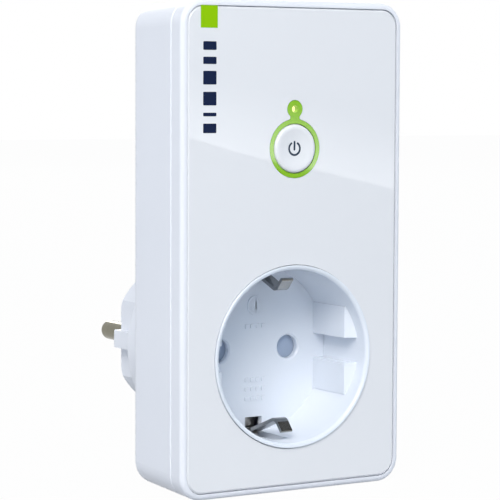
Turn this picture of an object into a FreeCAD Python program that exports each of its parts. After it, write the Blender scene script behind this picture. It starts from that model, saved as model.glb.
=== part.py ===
"""Plug-in dimmer: a wall-plug adapter with an earthed socket and a dimming button on its front.

Frame, in millimetres: the origin is the centre of the plug's end face, between the two pins.
+Y runs rearwards along the pins, +X is to the right as seen from the front, and +Z is up.
Depths are counted rearwards from the plane of the front panel.
"""
import FreeCAD, Part
import math
import os

Vector = FreeCAD.Vector

# Housing, as moulded
panel_width = 56.0
panel_height = 108.4
panel_thickness = 1.2
panel_corner_radius = 3.9
panel_gap = 0.15
panel_edge_chamfer = 0.4
bezel_margin = 1.4
bezel_edge_radius = 1.1
housing_depth = 24.5
housing_draft = 0.034
housing_rear_radius = 3.0
housing_wall = 2.0
rear_wall = 2.0
front_plate = 1.8
bezel_depth = 5.0
seam_chamfer = 0.3
lip_length = 2.0
lip_wall = 1.0
lip_gap = 0.1
panel_centre_above_socket = 24.8

# Collar and plug at the back
collar_radius = 23.5
collar_length = 12.2
collar_wall = 2.2
collar_edge_radius = 1.2
boss_radius = 18.25
boss_length = 16.5
boss_flat = 15.75
boss_flat_half_height = 9.2
boss_rib_half_width = 2.1
boss_rib_reach = 18.05
boss_wall = 2.0
boss_end_wall = 3.0
boss_edge_chamfer = 0.8

# Plug pins
pin_spacing = 19.0
pin_radius = 2.4
pin_length = 19.0
pin_tip_radius = 2.0
pin_neck_radius = 2.1
pin_hole_gap = 0.05
pin_flange_radius = 3.5
pin_flange_thickness = 1.5
pin_shank_radius = 2.0
pin_shank_length = 8.0
retainer_thickness = 3.2
retainer_gap = 0.2
anchor_radius = 3.4
link_lap = 3.2
link_bend_radius = 0.6
link_step_share = 0.25

# Socket insert
ring_outer_radius = 20.9
ring_proud = 0.45
ring_gap = 0.15
ring_outer_bevel = 0.1
ring_inner_edge_radius = 0.85
mouth_radius = 19.85
floor_radius = 19.7
recess_depth = 17.3
cup_wall = 1.5
cup_floor = 1.6
cup_flange_radius = 23.4
cup_flange_thickness = 1.6
guide_flat = 16.65
guide_half_height = 10.3
guide_slot_half_width = 2.95
guide_start_depth = 2.6
guide_end_slope = 1.5
pin_hole_radius = 2.75
pin_hole_chamfer = 0.4
clip_window_half_width = 2.3
clip_window_inner = 16.0
clip_channel_depth = 5.7
clip_pocket_reach = 21.6
clip_pocket_wall = 1.2

# Earth clips, bridge and straps
clip_width = 3.0
clip_thickness = 0.8
clip_root_offset = 19.3
clip_knee_offset = 19.0
clip_knee_depth = 16.6
clip_crest_offset = 14.8
clip_crest_depth = 5.5
clip_tip_offset = 17.4
clip_tip_depth = 3.1
clip_bend_radius = 1.8
clip_root_gap = 0.2
bridge_thickness = 0.8
bridge_half_width = 2.5
bridge_hole_radius = 2.0
strap_half_width = 2.0
strap_thickness = 0.8
strap_offset = 16.8
strap_bow = 0.55
strap_bend_radius = 48.0
strap_end_inset = 1.9
strap_groove_gap = 0.5
strap_groove_floor = 0.4
boss_end_skin = 1.4

# Socket contacts, shutter and their carrier
sleeve_inner_radius = 2.45
sleeve_wall = 0.65
sleeve_slit_width = 0.8
sleeve_slit_length = 7.5
sleeve_flange_radius = 3.9
sleeve_flange_thickness = 0.8
sleeve_tail = 4.7
sleeve_gap = 0.05
carrier_half_width = 14.0
carrier_half_height = 7.5
carrier_back_gap = 2.2
carrier_corner_radius = 2.0
carrier_ear_x = 12.5
carrier_ear_z = 10.5
carrier_ear_radius = 3.1
carrier_ear_thickness = 3.0
shutter_thickness = 1.4
shutter_gap = 0.3
shutter_hub_radius = 3.3
shutter_pivot_radius = 1.5
shutter_pivot_gap = 0.05
shutter_lobe_radius = 12.6
shutter_lobe_half_angle = 17.5
shutter_arm_half_width = 0.8
shutter_arm_reach = 5.4
shutter_spring_height = 4.5
shutter_spring_length = 6.0
shutter_spring_radius = 0.65
shutter_spring_wire = 0.15
shutter_spring_turns = 5
spring_post_width = 1.2
spring_post_half_height = 0.8

# Button, its ring and its lamp
button_above_socket = 47.35
button_radius = 5.5
button_gap = 0.15
button_proud = 0.45
button_edge_radius = 1.1
button_flange_radius = 6.4
button_flange_thickness = 1.1
button_stop_gap = 0.1
button_stem_radius = 1.6
button_travel = 0.5
button_guide_gap = 0.3
button_guide_wall = 1.0
button_guide_length = 3.2
accent_radius = 6.65
accent_neck_width = 2.4
accent_bubble_radius = 2.0
accent_fillet = 0.45
accent_gap = 0.08
lamp_above_button = 8.9
lamp_window_radius = 0.8
led_radius = 1.5
led_dome_radius = 1.35
led_flange_radius = 1.9
led_flange_thickness = 0.8
led_length = 4.6
led_leg_width = 0.5
led_leg_spacing = 1.27
led_behind_ring = 0.25
led_hole_gap = 0.2
button_spring_radius = 4.9
button_spring_wire = 0.2
button_spring_turns = 3

# Circuit board and what stands on it
board_width = 48.0
board_cup_gap = 2.1
board_boss_gap = 1.85
board_thickness = 1.6
board_depth = 10.0
board_post_x = 20.5
board_post_edge = 3.6
board_post_radius = 2.4
board_screw_radius = 1.0
board_screw_head_radius = 1.9
board_screw_head = 1.3
tact_size = 6.0
tact_height = 3.5
plunger_radius = 1.7
plunger_height = 1.0
plunger_travel = 0.3
plunger_gap = 0.05
plunger_well_floor = 1.2
heat_sink_width = 17.0
heat_sink_length = 16.5
heat_sink_wall = 1.2
heat_sink_back_gap = 1.3
heat_sink_x = 9.2
heat_sink_up_board = 0.76
triac_width = 10.0
triac_body_length = 9.0
triac_body_thickness = 4.4
triac_tab_length = 5.6
triac_tab_thickness = 1.3
triac_hole_radius = 1.8
triac_leg_spacing = 2.54
triac_leg_width = 0.8
triac_leg_thickness = 0.5
triac_leg_length = 4.0
triac_screw_radius = 1.35
triac_screw_head_radius = 2.8
choke_x = -12.6
choke_up_board = 0.72
choke_outer_radius = 8.6
choke_inner_radius = 4.2
choke_back_gap = 1.5
choke_wire = 0.9
choke_wire_gap = 0.08
choke_turns = 14
choke_arc = 300.0
capacitor_length = 17.5
capacitor_width = 7.5
capacitor_back_gap = 0.3
capacitor_edge_radius = 0.9
capacitor_x = 8.0
capacitor_above_edge = 7.1
electrolytic_radius = 4.0
electrolytic_back_gap = 0.5
electrolytic_groove_height = 1.4
electrolytic_groove_width = 0.8
electrolytic_groove_deep = 0.4
electrolytic_edge = 0.4
electrolytic_x = 19.0
electrolytic_up_board = 0.41
fuse_radius = 2.5
fuse_glass_radius = 2.3
fuse_length = 20.0
fuse_cap_length = 4.5
fuse_x = -12.8
fuse_up_board = 0.35
fuse_height = 3.6
fuse_clip_wall = 0.5
fuse_clip_gap = 0.05
varistor_back_gap = 1.1
varistor_thickness = 3.6
varistor_x = -18.5
varistor_up_board = 0.19
varistor_stand = 1.0
chip_length = 6.2
chip_width = 5.0
chip_height = 1.6
chip_stand = 0.2
chip_leg_count = 4
chip_leg_pitch = 1.5
chip_leg_width = 0.5
chip_leg_height = 0.8
chip_x = 2.6
chip_up_board = 0.42
resistor_length = 3.2
resistor_width = 1.6
resistor_height = 0.7
resistor_x = 8.6
resistor_up_board = 0.33
resistor_pitch_x = 4.6
resistor_pitch_z = 2.6
resistor_columns = 2
resistor_lines = 3
lead_radius = 0.3

# Wires
wire_radius = 0.9
wire_shank_gap = 2.8
wire_carrier_gap = 0.6
wire_crest = 0.8
wire_pass_wall = 1.0
wire_pass_gap = 0.6
wire_inner_x = 5.4
wire_lap = 1.6
wire_board_above_edge = 2.0
arc_share = 0.45
wire_sides = 6
same_place = 1e-4
overshoot = 1.0

# Fasteners
case_screw_radius = 1.45
case_screw_head_radius = 2.7
case_screw_head = 1.9
case_screw_length = 11.0
case_screw_inset = 6.2
case_boss_radius = 3.0
case_tower_radius = 3.9
case_joint_depth = 16.0
case_web = 2.4
screw_hole_gap = 0.05
screw_pass_gap = 0.25
screw_head_gap = 0.3
carrier_screw_radius = 1.05
carrier_screw_head_radius = 2.1
carrier_screw_head = 1.4
carrier_screw_bite = 3.0
board_screw_bite = 5.0
retainer_screw_bite = 1.6
hook_width = 4.0
hook_wall = 1.4
hook_nose = 0.9
hook_nose_length = 1.0
hook_gap = 0.1
rear_rib_thickness = 1.2

# Sizes that follow from those above
plug_depth = housing_depth + collar_length + boss_length
front_y = -plug_depth
outer_half_width = panel_width / 2 + panel_gap + bezel_margin
outer_half_height = panel_height / 2 + panel_gap + bezel_margin
outer_corner_radius = panel_corner_radius + panel_gap + bezel_margin
plate_back = panel_thickness + front_plate
floor_back = recess_depth + cup_floor
tub_floor = housing_depth - rear_wall
shutter_front = floor_back + shutter_gap
shutter_back = shutter_front + shutter_thickness
bridge_front = shutter_back + shutter_gap
carrier_front = bridge_front + bridge_thickness
collar_floor = housing_depth + collar_length - rear_wall
carrier_back = collar_floor - carrier_back_gap
sleeve_radius = sleeve_inner_radius + sleeve_wall
pin_x = pin_spacing / 2
collar_inner_radius = collar_radius - collar_wall
boss_cavity_floor = plug_depth - boss_end_wall
strap_inner = strap_offset - strap_thickness / 2
strap_outer = strap_offset + strap_thickness / 2
groove_floor = strap_inner - strap_groove_floor
board_back = board_depth + board_thickness
board_bottom = cup_flange_radius + board_cup_gap
lamp_z = button_above_socket + lamp_above_button
bridge_end = clip_root_offset - clip_thickness / 2 - clip_root_gap
plunger_tip = board_depth - tact_height - plunger_height
case_screw_x = outer_half_width - case_screw_inset
case_screw_z = outer_half_height - case_screw_inset
board_top = panel_centre_above_socket + case_screw_z - case_boss_radius - board_boss_gap
board_height = board_top - board_bottom
rear_rib_front = tub_floor - rear_rib_thickness
room_behind_board = rear_rib_front - board_back
heat_sink_height = room_behind_board - heat_sink_back_gap
heat_sink_z = board_bottom + heat_sink_up_board * board_height
choke_height = room_behind_board - 2 * choke_wire - choke_back_gap
choke_z = board_bottom + choke_up_board * board_height
capacitor_height = room_behind_board - capacitor_back_gap
capacitor_z = board_bottom + capacitor_above_edge
electrolytic_height = room_behind_board - electrolytic_back_gap
electrolytic_z = board_bottom + electrolytic_up_board * board_height
varistor_radius = (tub_floor - varistor_back_gap - varistor_stand - board_back) / 2
varistor_z = board_bottom + varistor_up_board * board_height
fuse_z = board_bottom + fuse_up_board * board_height
chip_z = board_bottom + chip_up_board * board_height
resistor_z = board_bottom + resistor_up_board * board_height
wire_pass_floor = housing_depth - wire_pass_wall
wire_behind_cup = (floor_back + wire_pass_floor) / 2
wire_sleeve_rise = carrier_half_height + wire_radius + wire_carrier_gap
wire_inner_rise = carrier_half_height + wire_radius + wire_shank_gap
wire_rise = wire_inner_rise + wire_crest
wire_board_z = board_bottom + wire_board_above_edge


def y_at(depth):
    """The Y of a depth behind the front panel's plane."""
    return front_y + depth


def cylinder(radius, start, end, x=0.0, z=0.0):
    """A round bar along Y between two depths."""
    return Part.makeCylinder(radius, end - start, Vector(x, y_at(start), z), Vector(0, 1, 0))


def block(x0, x1, start, end, z0, z1):
    """A box between two X, two depths and two Z."""
    return Part.makeBox(x1 - x0, end - start, z1 - z0, Vector(x0, y_at(start), z0))


def prism(half_width, half_height, radius, start, end, centre_z=panel_centre_above_socket, draft=0.0):
    """A block along Y with rounded long edges, its sides leaning in towards the back by the draft."""
    lean = draft * (end - start)
    rings = []
    for depth, inset in ((start, 0), (end, lean)):
        rings.append([Vector(sx * (half_width - inset), y_at(depth), centre_z + sz * (half_height - inset))
                      for sx, sz in ((1, 1), (-1, 1), (-1, -1), (1, -1))])
    front, back = rings
    quads = [front, back] + [[front[i], front[i - 1], back[i - 1], back[i]] for i in range(4)]
    faces = [Part.Face(Part.makePolygon(quad + quad[:1])) for quad in quads]
    block_solid = Part.Solid(Part.Shell(faces))
    middle = y_at((start + end) / 2)
    long_edges = [e for e in block_solid.Edges
                  if abs(e.valueAt((e.FirstParameter + e.LastParameter) / 2).y - middle) < same_place]
    return block_solid.makeFillet(radius, long_edges)


def turned(points, x=0.0, z=0.0):
    """A solid turned about the line along Y through x, z. Points are (radius, depth)."""
    wire = Part.makePolygon([Vector(x + r, y_at(d), z) for r, d in points + points[:1]])
    return Part.Face(wire).revolve(Vector(x, 0, z), Vector(0, 1, 0), 360)


def strip(points, thickness, half_width, bend_radius, x=0.0):
    """A bent metal strip across X, with rounded ends. Points are (depth, z) of its middle line."""
    path = [Vector(x, y_at(d), z) for d, z in points]
    middle = smooth_path(path, bend_radius)
    side = middle.makeOffset2D(thickness / 2, 0, False, False)
    face = Part.Face(side)
    face.translate(Vector(-half_width, 0, 0))
    return face.extrude(Vector(2 * half_width, 0, 0))


def smooth_path(path, bend_radius=None):
    """Straight runs joined by tangent arcs. With no radius, each arc is as large as its runs allow."""
    edges = []
    here = path[0]
    for before, corner, after in zip(path, path[1:], path[2:]):
        back = before - corner
        onward = after - corner
        turn = math.pi - back.getAngle(onward)
        radius = bend_radius or arc_share * min(back.Length, onward.Length) / math.tan(turn / 2)
        reach = radius * math.tan(turn / 2)
        enter = corner + back.normalize() * reach
        leave = corner + onward.normalize() * reach
        inward = (back + onward).normalize()
        middle = corner + inward * (radius / math.cos(turn / 2) - radius)
        edges.append(Part.makeLine(here, enter))
        edges.append(Part.Arc(enter, middle, leave).toShape())
        here = leave
    edges.append(Part.makeLine(here, path[-1]))
    return Part.Wire(edges)


def wire_along(points, radius=wire_radius):
    """A round insulated wire. Points are (x, depth, z)."""
    path = [Vector(x, y_at(d), z) for x, d, z in points]
    spine = smooth_path(path)
    start = path[0]
    ring = Part.Wire(Part.makeCircle(radius, start, path[1] - start))
    return spine.makePipeShell([ring], True, False)


def coil(radius, wire, turns, start, end):
    """A spring along Y between two depths, about the Y axis, of wire with flats."""
    length = end - start - 2 * wire
    helix = Part.makeHelix(length / turns, length, radius)
    angles = [2 * math.pi * side / wire_sides for side in range(wire_sides + 1)]
    section = Part.makePolygon([Vector(radius + wire * math.cos(a), 0, wire * math.sin(a)) for a in angles])
    spring = Part.Wire(helix).makePipeShell([section], True, True)
    spring.rotate(Vector(0, 0, 0), Vector(1, 0, 0), -90)
    spring.translate(Vector(0, y_at(start + wire), 0))
    return spring


def screw(x, z, head_start, head, head_radius, radius, tip_depth):
    """A round-headed screw that is driven from behind."""
    return cylinder(head_radius, head_start, head_start + head, x, z).fuse(
        cylinder(radius, tip_depth, head_start, x, z))


def round_edges(shape, radius, wanted):
    """Fillets the edges whose middle point passes the test."""
    edges = [e for e in shape.Edges if wanted(e.valueAt((e.FirstParameter + e.LastParameter) / 2))]
    return shape.makeFillet(radius, edges)


def at_depth(depth):
    """A test for points on the plane at a depth."""
    return lambda point: abs(point.y - y_at(depth)) < same_place


def case_screw_places():
    """X and Z of the four case screws."""
    return [(sx * case_screw_x, panel_centre_above_socket + sz * case_screw_z)
            for sx in (-1, 1) for sz in (-1, 1)]


def board_post_places():
    """X and Z of the four posts that carry the circuit board."""
    return [(sx * board_post_x, z) for sx in (-1, 1)
            for z in (board_bottom + board_post_edge, board_top - board_post_edge)]


def board_screw_places():
    """X and Z of the two board screws, on one diagonal. The other two posts only carry the board."""
    places = board_post_places()
    return [places[0], places[-1]]


def carrier_screw_places():
    """X and Z of the two carrier screws, on one diagonal."""
    return [(s * carrier_ear_x, s * carrier_ear_z) for s in (-1, 1)]


def keyhole(radius, neck_width, bubble_radius, start, end):
    """The outline of the ring about the button with the lamp's bubble above it."""
    z = button_above_socket
    ring = cylinder(radius, start, end, 0, z)
    bubble = cylinder(bubble_radius, start, end, 0, lamp_z)
    neck = block(-neck_width / 2, neck_width / 2, start, end, z, lamp_z)
    shape = ring.fuse([bubble, neck]).removeSplitter()
    middle = y_at((start + end) / 2)
    return round_edges(shape, accent_fillet, lambda point: abs(point.y - middle) < same_place
                       and abs(abs(point.x) - neck_width / 2) < same_place)


def housing_envelope():
    """The closed outer form of the housing before it is parted into its two shells."""
    body = prism(outer_half_width, outer_half_height, outer_corner_radius, 0, housing_depth,
                 draft=housing_draft)
    body = round_edges(body, bezel_edge_radius, at_depth(0))
    return round_edges(body, housing_rear_radius, at_depth(housing_depth))


def half_width_at(depth):
    """Half the housing's outside width at a depth."""
    return outer_half_width - housing_draft * depth


def half_height_at(depth):
    """Half the housing's outside height at a depth."""
    return outer_half_height - housing_draft * depth


def beyond(depth, rearwards):
    """A slab much larger than the housing, on one side of a depth."""
    reach = 2 * outer_half_height + plug_depth
    if rearwards:
        return block(-reach, reach, depth, depth + reach, -reach, 2 * reach)
    return block(-reach, reach, depth - reach, depth, -reach, 2 * reach)


def seam_bevel(shell, depth):
    """Bevels the outer edge of a still solid shell at the seam."""
    edges = [e for e in shell.Edges
             if at_depth(depth)(e.valueAt((e.FirstParameter + e.LastParameter) / 2))]
    return shell.makeChamfer(seam_chamfer, edges)


def front_shell():
    """The bezel: rim, plate behind the panel, locating lip, screw bosses, posts and hooks."""
    shell = seam_bevel(housing_envelope().cut(beyond(bezel_depth, True)), bezel_depth)
    wall = housing_wall + lip_gap
    lip_half_width = half_width_at(bezel_depth) - wall
    lip_half_height = half_height_at(bezel_depth) - wall
    lip_corner = outer_corner_radius - wall
    lip = prism(lip_half_width, lip_half_height, lip_corner, plate_back, bezel_depth + lip_length)
    core = prism(lip_half_width - lip_wall, lip_half_height - lip_wall, lip_corner - lip_wall,
                 plate_back, bezel_depth + lip_length)
    pocket = prism(panel_width / 2 + panel_gap, panel_height / 2 + panel_gap,
                   panel_corner_radius + panel_gap, -overshoot, panel_thickness)
    shell = shell.fuse(lip).cut([core, pocket])

    bosses = [cylinder(case_boss_radius, plate_back, case_joint_depth, x, z)
              for x, z in case_screw_places()]
    posts = [cylinder(board_post_radius, plate_back, board_depth, x, z)
             for x, z in board_post_places()]
    guide_inner = button_flange_radius + button_guide_gap
    guide = cylinder(guide_inner + button_guide_wall, plate_back, plate_back + button_guide_length,
                     0, button_above_socket)
    hooks = [snap_hook(angle) for angle in (45, 135, 225, 315)]
    shell = shell.fuse(bosses + posts + [guide] + hooks)

    cuts = [cylinder(guide_inner, plate_back, plate_back + button_guide_length, 0, button_above_socket),
            cylinder(button_radius + button_gap, 0, plate_back, 0, button_above_socket),
            cylinder(led_flange_radius + led_hole_gap, plate_back, board_depth, 0, lamp_z),
            cylinder(led_radius + led_hole_gap, 0, plate_back, 0, lamp_z),
            cylinder(ring_outer_radius + ring_gap, 0, plate_back)]
    pilot = case_screw_radius + screw_hole_gap
    tip = case_joint_depth + case_web - case_screw_length - screw_head_gap
    cuts += [cylinder(pilot, tip, case_joint_depth, x, z) for x, z in case_screw_places()]
    post_pilot = board_screw_radius + screw_hole_gap
    tip = board_back - board_screw_bite - screw_head_gap
    cuts += [cylinder(post_pilot, tip, board_depth, x, z) for x, z in board_screw_places()]
    return shell.cut(cuts)


def snap_hook(angle):
    """A hook on the front plate whose nose holds the socket insert's flange."""
    flange_back = plate_back + cup_flange_thickness
    inner = cup_flange_radius + hook_gap
    nose_start = flange_back + hook_gap
    nose_end = nose_start + hook_nose_length
    half = hook_width / 2
    stem = block(inner, inner + hook_wall, plate_back, nose_end, -half, half)
    nose = Part.Face(Part.makePolygon([
        Vector(inner, y_at(nose_start), -half), Vector(inner - hook_nose, y_at(nose_start), -half),
        Vector(inner, y_at(nose_end), -half), Vector(inner, y_at(nose_start), -half)]))
    hook = stem.fuse(nose.extrude(Vector(0, 0, hook_width)))
    hook.rotate(Vector(0, 0, 0), Vector(0, 1, 0), angle)
    return hook


def front_panel():
    """The glossy plate set flush in the bezel, open for the socket, the ring and the lamp."""
    plate = prism(panel_width / 2, panel_height / 2, panel_corner_radius, 0, panel_thickness)
    border = [e for e in plate.Edges
              if at_depth(0)(e.valueAt((e.FirstParameter + e.LastParameter) / 2))]
    plate = plate.makeChamfer(panel_edge_chamfer, border)
    return plate.cut([
        cylinder(ring_outer_radius + ring_gap, -overshoot, panel_thickness + overshoot),
        keyhole(accent_radius + accent_gap, accent_neck_width + 2 * accent_gap,
                accent_bubble_radius + accent_gap, -overshoot, panel_thickness + overshoot)])


def accent_ring():
    """The green keyhole-shaped ring about the button, with the lamp's small window."""
    ring = keyhole(accent_radius, accent_neck_width, accent_bubble_radius, 0, panel_thickness)
    return ring.cut([
        cylinder(button_radius + button_gap, -overshoot, panel_thickness + overshoot,
                 0, button_above_socket),
        cylinder(lamp_window_radius, -overshoot, panel_thickness + overshoot, 0, lamp_z)])


def rear_shell():
    """The tub, the round collar and the plug body in one moulding."""
    tub = seam_bevel(housing_envelope().cut(beyond(bezel_depth, False)), bezel_depth)
    collar = cylinder(collar_radius, tub_floor, housing_depth + collar_length)
    collar = round_edges(collar, collar_edge_radius, at_depth(housing_depth + collar_length))
    shell = tub.fuse([collar, plug_body()])

    cavity = prism(half_width_at(bezel_depth) - housing_wall, half_height_at(bezel_depth) - housing_wall,
                   outer_corner_radius - housing_wall, bezel_depth, tub_floor, draft=housing_draft)
    shell = shell.cut([cavity, cylinder(collar_inner_radius, tub_floor, collar_floor), boss_cavity()])

    towers = [cylinder(case_tower_radius, case_joint_depth, tub_floor, x, z)
              for x, z in case_screw_places()]
    ribs = [block(-half_width_at(tub_floor) + housing_wall / 2, half_width_at(tub_floor) - housing_wall / 2,
                  rear_rib_front, tub_floor, z, z + rear_rib_thickness)
            for z in (board_top, board_bottom + board_height / 2)]
    anchor = cylinder(anchor_radius, boss_cavity_floor - pin_flange_thickness, boss_cavity_floor)
    shell = shell.fuse(towers + ribs + [anchor])

    head_room = case_screw_head_radius + screw_head_gap
    cuts = []
    for x, z in case_screw_places():
        cuts.append(cylinder(head_room, case_joint_depth + case_web, housing_depth + overshoot, x, z))
        cuts.append(cylinder(case_screw_radius + screw_pass_gap, case_joint_depth, housing_depth, x, z))
    for side in (-1, 1):
        cuts.append(cylinder(pin_radius + pin_hole_gap, boss_cavity_floor, plug_depth + overshoot,
                             side * pin_x, 0))
        cuts.append(strap_groove(side))
    cuts.append(cylinder(carrier_screw_radius + screw_hole_gap,
                         boss_cavity_floor - pin_flange_thickness,
                         boss_cavity_floor + retainer_screw_bite))
    cuts.append(wire_pass())
    return shell.cut(cuts)


def wire_pass():
    """The relief in the rear wall where the three wires pass from the collar to the board."""
    room = wire_radius + wire_pass_gap
    half = pin_x + room
    return block(-half, half, tub_floor, wire_pass_floor, wire_rise, wire_board_z + room)


def plug_body():
    """The round plug body with its two side flats and the guiding rib on each."""
    start = collar_floor
    body = cylinder(boss_radius, start, plug_depth)
    body = body.makeChamfer(boss_edge_chamfer, [e for e in body.Edges
                                                if at_depth(plug_depth)(e.valueAt(e.FirstParameter))
                                                and e.BoundBox.YLength < same_place])
    reach = boss_radius + overshoot
    for side in (-1, 1):
        x0, x1 = sorted((side * boss_flat, side * reach))
        flat = block(x0, x1, housing_depth + collar_length, plug_depth + overshoot,
                     -boss_flat_half_height, boss_flat_half_height)
        rib = block(x0, x1, start, plug_depth + overshoot, -boss_rib_half_width, boss_rib_half_width)
        body = body.cut(flat.cut(rib))
        x2, x3 = sorted((side * boss_rib_reach, side * reach))
        body = body.cut(block(x2, x3, start, plug_depth + overshoot, -boss_radius, boss_radius))
    return body


def boss_cavity():
    """The hollow inside the plug body, clear of the side flats and of the strap grooves."""
    hollow = cylinder(boss_radius - boss_wall, collar_floor, boss_cavity_floor)
    half_x = boss_flat - boss_wall
    half_z = groove_floor - boss_wall / 2
    return hollow.common(block(-half_x, half_x, collar_floor, boss_cavity_floor, -half_z, half_z))


def strap_groove(side):
    """The groove along the plug body for one earth strap, with its slot into the collar."""
    half = strap_half_width + strap_groove_gap
    z0, z1 = sorted((side * groove_floor, side * (boss_radius + overshoot)))
    groove = block(-half, half, housing_depth + collar_length, plug_depth - boss_end_skin, z0, z1)
    z2, z3 = sorted((side * groove_floor, side * (strap_outer + strap_groove_floor)))
    slot = block(-half, half, collar_floor, housing_depth + collar_length, z2, z3)
    return groove.fuse(slot)


def socket_insert():
    """The socket cup: ring, recess, guide blocks, floor with pin holes, and clip pockets."""
    outer = [(0, floor_back), (floor_radius + cup_wall, floor_back),
             (floor_radius + cup_wall, plate_back + cup_flange_thickness),
             (cup_flange_radius, plate_back + cup_flange_thickness), (cup_flange_radius, plate_back),
             (ring_outer_radius, plate_back), (ring_outer_radius, ring_outer_bevel - ring_proud),
             (ring_outer_radius - ring_outer_bevel, -ring_proud), (0, -ring_proud)]
    inner = [(0, -ring_proud), (mouth_radius, -ring_proud), (floor_radius, recess_depth),
             (0, recess_depth)]
    cup = turned(outer)
    pocket_half = clip_window_half_width + clip_pocket_wall
    pocket_start = clip_channel_depth - clip_pocket_wall
    pockets = [block(-pocket_half, pocket_half, pocket_start, floor_back, *sorted(
        (side * clip_window_inner, side * (clip_pocket_reach + clip_pocket_wall))))
        for side in (-1, 1)]
    bosses = [cylinder(carrier_ear_radius - sleeve_wall, floor_back, carrier_front, x, z)
              for x, z in carrier_screw_places()]
    stop = shutter_spring_stop()
    cup = cup.fuse(pockets + bosses + [stop]).cut(turned(inner)).fuse(guide_blocks())

    cuts = []
    for side in (-1, 1):
        x = side * pin_x
        cuts.append(cylinder(pin_hole_radius, recess_depth, floor_back, x, 0))
        cuts.append(Part.makeCone(pin_hole_radius + pin_hole_chamfer, pin_hole_radius, pin_hole_chamfer,
                                  Vector(x, y_at(recess_depth), 0), Vector(0, 1, 0)))
        z0, z1 = sorted((side * clip_window_inner, side * clip_pocket_reach))
        half = clip_window_half_width
        cuts.append(block(-half, half, clip_channel_depth, floor_back + overshoot, z0, z1))
    pilot = carrier_screw_radius + screw_hole_gap
    tip = carrier_front - carrier_screw_bite
    cuts += [cylinder(pilot, tip, carrier_front, x, z) for x, z in carrier_screw_places()]
    cup = cup.cut(cuts).removeSplitter()
    middle_radius = (mouth_radius + ring_outer_radius) / 2
    rim = at_depth(-ring_proud)
    return round_edges(cup, ring_inner_edge_radius,
                       lambda point: rim(point) and math.hypot(point.x, point.z) < middle_radius)


def guide_blocks():
    """The two guides that fill the recess beside the plug, each split by a slot, with sloped ends."""
    space = cylinder(floor_radius + cup_wall / 2, guide_start_depth, recess_depth + cup_floor / 2)
    blocks = []
    for side in (-1, 1):
        reach = floor_radius + cup_wall
        near = Vector(side * guide_flat, y_at(guide_start_depth + guide_end_slope), 0)
        far = Vector(side * reach, y_at(guide_start_depth), 0)
        back_far = Vector(side * reach, y_at(floor_back), 0)
        back_near = Vector(side * guide_flat, y_at(floor_back), 0)
        face = Part.Face(Part.makePolygon([near, far, back_far, back_near, near]))
        for low, high in ((guide_slot_half_width, guide_half_height),
                          (-guide_half_height, -guide_slot_half_width)):
            piece = face.copy()
            piece.translate(Vector(0, 0, low))
            blocks.append(piece.extrude(Vector(0, 0, high - low)).common(space))
    return blocks


def shutter_spring_stop():
    """The post on the cup's back that the shutter's spring pushes from."""
    right = -shutter_arm_half_width - shutter_spring_length
    return block(right - spring_post_width, right, floor_back, shutter_back,
                 shutter_spring_height - spring_post_half_height,
                 shutter_spring_height + spring_post_half_height)


def shutter():
    """The turning shutter: a hub, two sector lobes over the pin holes, and the spring's arm."""
    hub = cylinder(shutter_hub_radius, shutter_front, shutter_back)
    lobes = []
    for heading in (0, 180):
        angles = [math.radians(heading + t * shutter_lobe_half_angle) for t in (-1, 0, 1)]
        rim = [Vector(shutter_lobe_radius * math.cos(a), y_at(shutter_front),
                      shutter_lobe_radius * math.sin(a)) for a in angles]
        centre = Vector(0, y_at(shutter_front), 0)
        edges = [Part.makeLine(centre, rim[0]), Part.Arc(*rim).toShape(), Part.makeLine(rim[2], centre)]
        lobes.append(Part.Face(Part.Wire(edges)).extrude(Vector(0, shutter_thickness, 0)))
    arm = block(-shutter_arm_half_width, shutter_arm_half_width, shutter_front, shutter_back,
                0, shutter_arm_reach)
    plate = hub.fuse(lobes + [arm]).removeSplitter()
    return plate.cut(cylinder(shutter_pivot_radius + shutter_pivot_gap, shutter_front - overshoot,
                              shutter_back + overshoot))


def shutter_spring():
    """The small coil between the shutter's arm and the post on the cup."""
    spring = coil(shutter_spring_radius, shutter_spring_wire, shutter_spring_turns,
                  0, shutter_spring_length)
    spring.translate(Vector(0, -front_y, 0))
    spring.rotate(Vector(0, 0, 0), Vector(0, 0, 1), 90)
    spring.translate(Vector(-shutter_arm_half_width, y_at((shutter_front + shutter_back) / 2),
                            shutter_spring_height))
    return spring


def contact_carrier():
    """The insulating block that holds the contact sleeves and the shutter's pivot."""
    body = prism(carrier_half_width, carrier_half_height, carrier_corner_radius,
                 carrier_front, carrier_back, 0.0)
    ear_end = carrier_front + carrier_ear_thickness
    pieces = [cylinder(shutter_pivot_radius, floor_back + shutter_gap / 2, carrier_front)]
    for x, z in carrier_screw_places():
        z0, z1 = sorted((0, z))
        pieces.append(cylinder(carrier_ear_radius, carrier_front, ear_end, x, z))
        pieces.append(block(x - carrier_ear_radius, x + carrier_ear_radius, carrier_front, ear_end, z0, z1))
    body = body.fuse(pieces).removeSplitter()
    front = carrier_front - overshoot
    cuts = [cylinder(sleeve_radius + sleeve_gap, front, carrier_back + overshoot, side * pin_x, 0)
            for side in (-1, 1)]
    cuts += [cylinder(carrier_screw_radius + screw_pass_gap, front, ear_end + overshoot, x, z)
             for x, z in carrier_screw_places()]
    return body.cut(cuts)


def contact_sleeve(side):
    """A slit tube that grips an inserted pin, with a flange that seats on the carrier's back."""
    front = carrier_front + sleeve_gap
    tail_end = carrier_back + sleeve_flange_thickness + sleeve_tail
    tube = cylinder(sleeve_radius, front, tail_end)
    flange = cylinder(sleeve_flange_radius, carrier_back, carrier_back + sleeve_flange_thickness)
    sleeve = tube.fuse(flange).cut(cylinder(sleeve_inner_radius, front - overshoot, tail_end + overshoot))
    half = sleeve_slit_width / 2
    slit = block(-half, half, front - overshoot, front + sleeve_slit_length,
                 -sleeve_radius - overshoot, sleeve_radius + overshoot)
    sleeve = sleeve.cut(slit)
    sleeve.translate(Vector(side * pin_x, 0, 0))
    return sleeve


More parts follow.
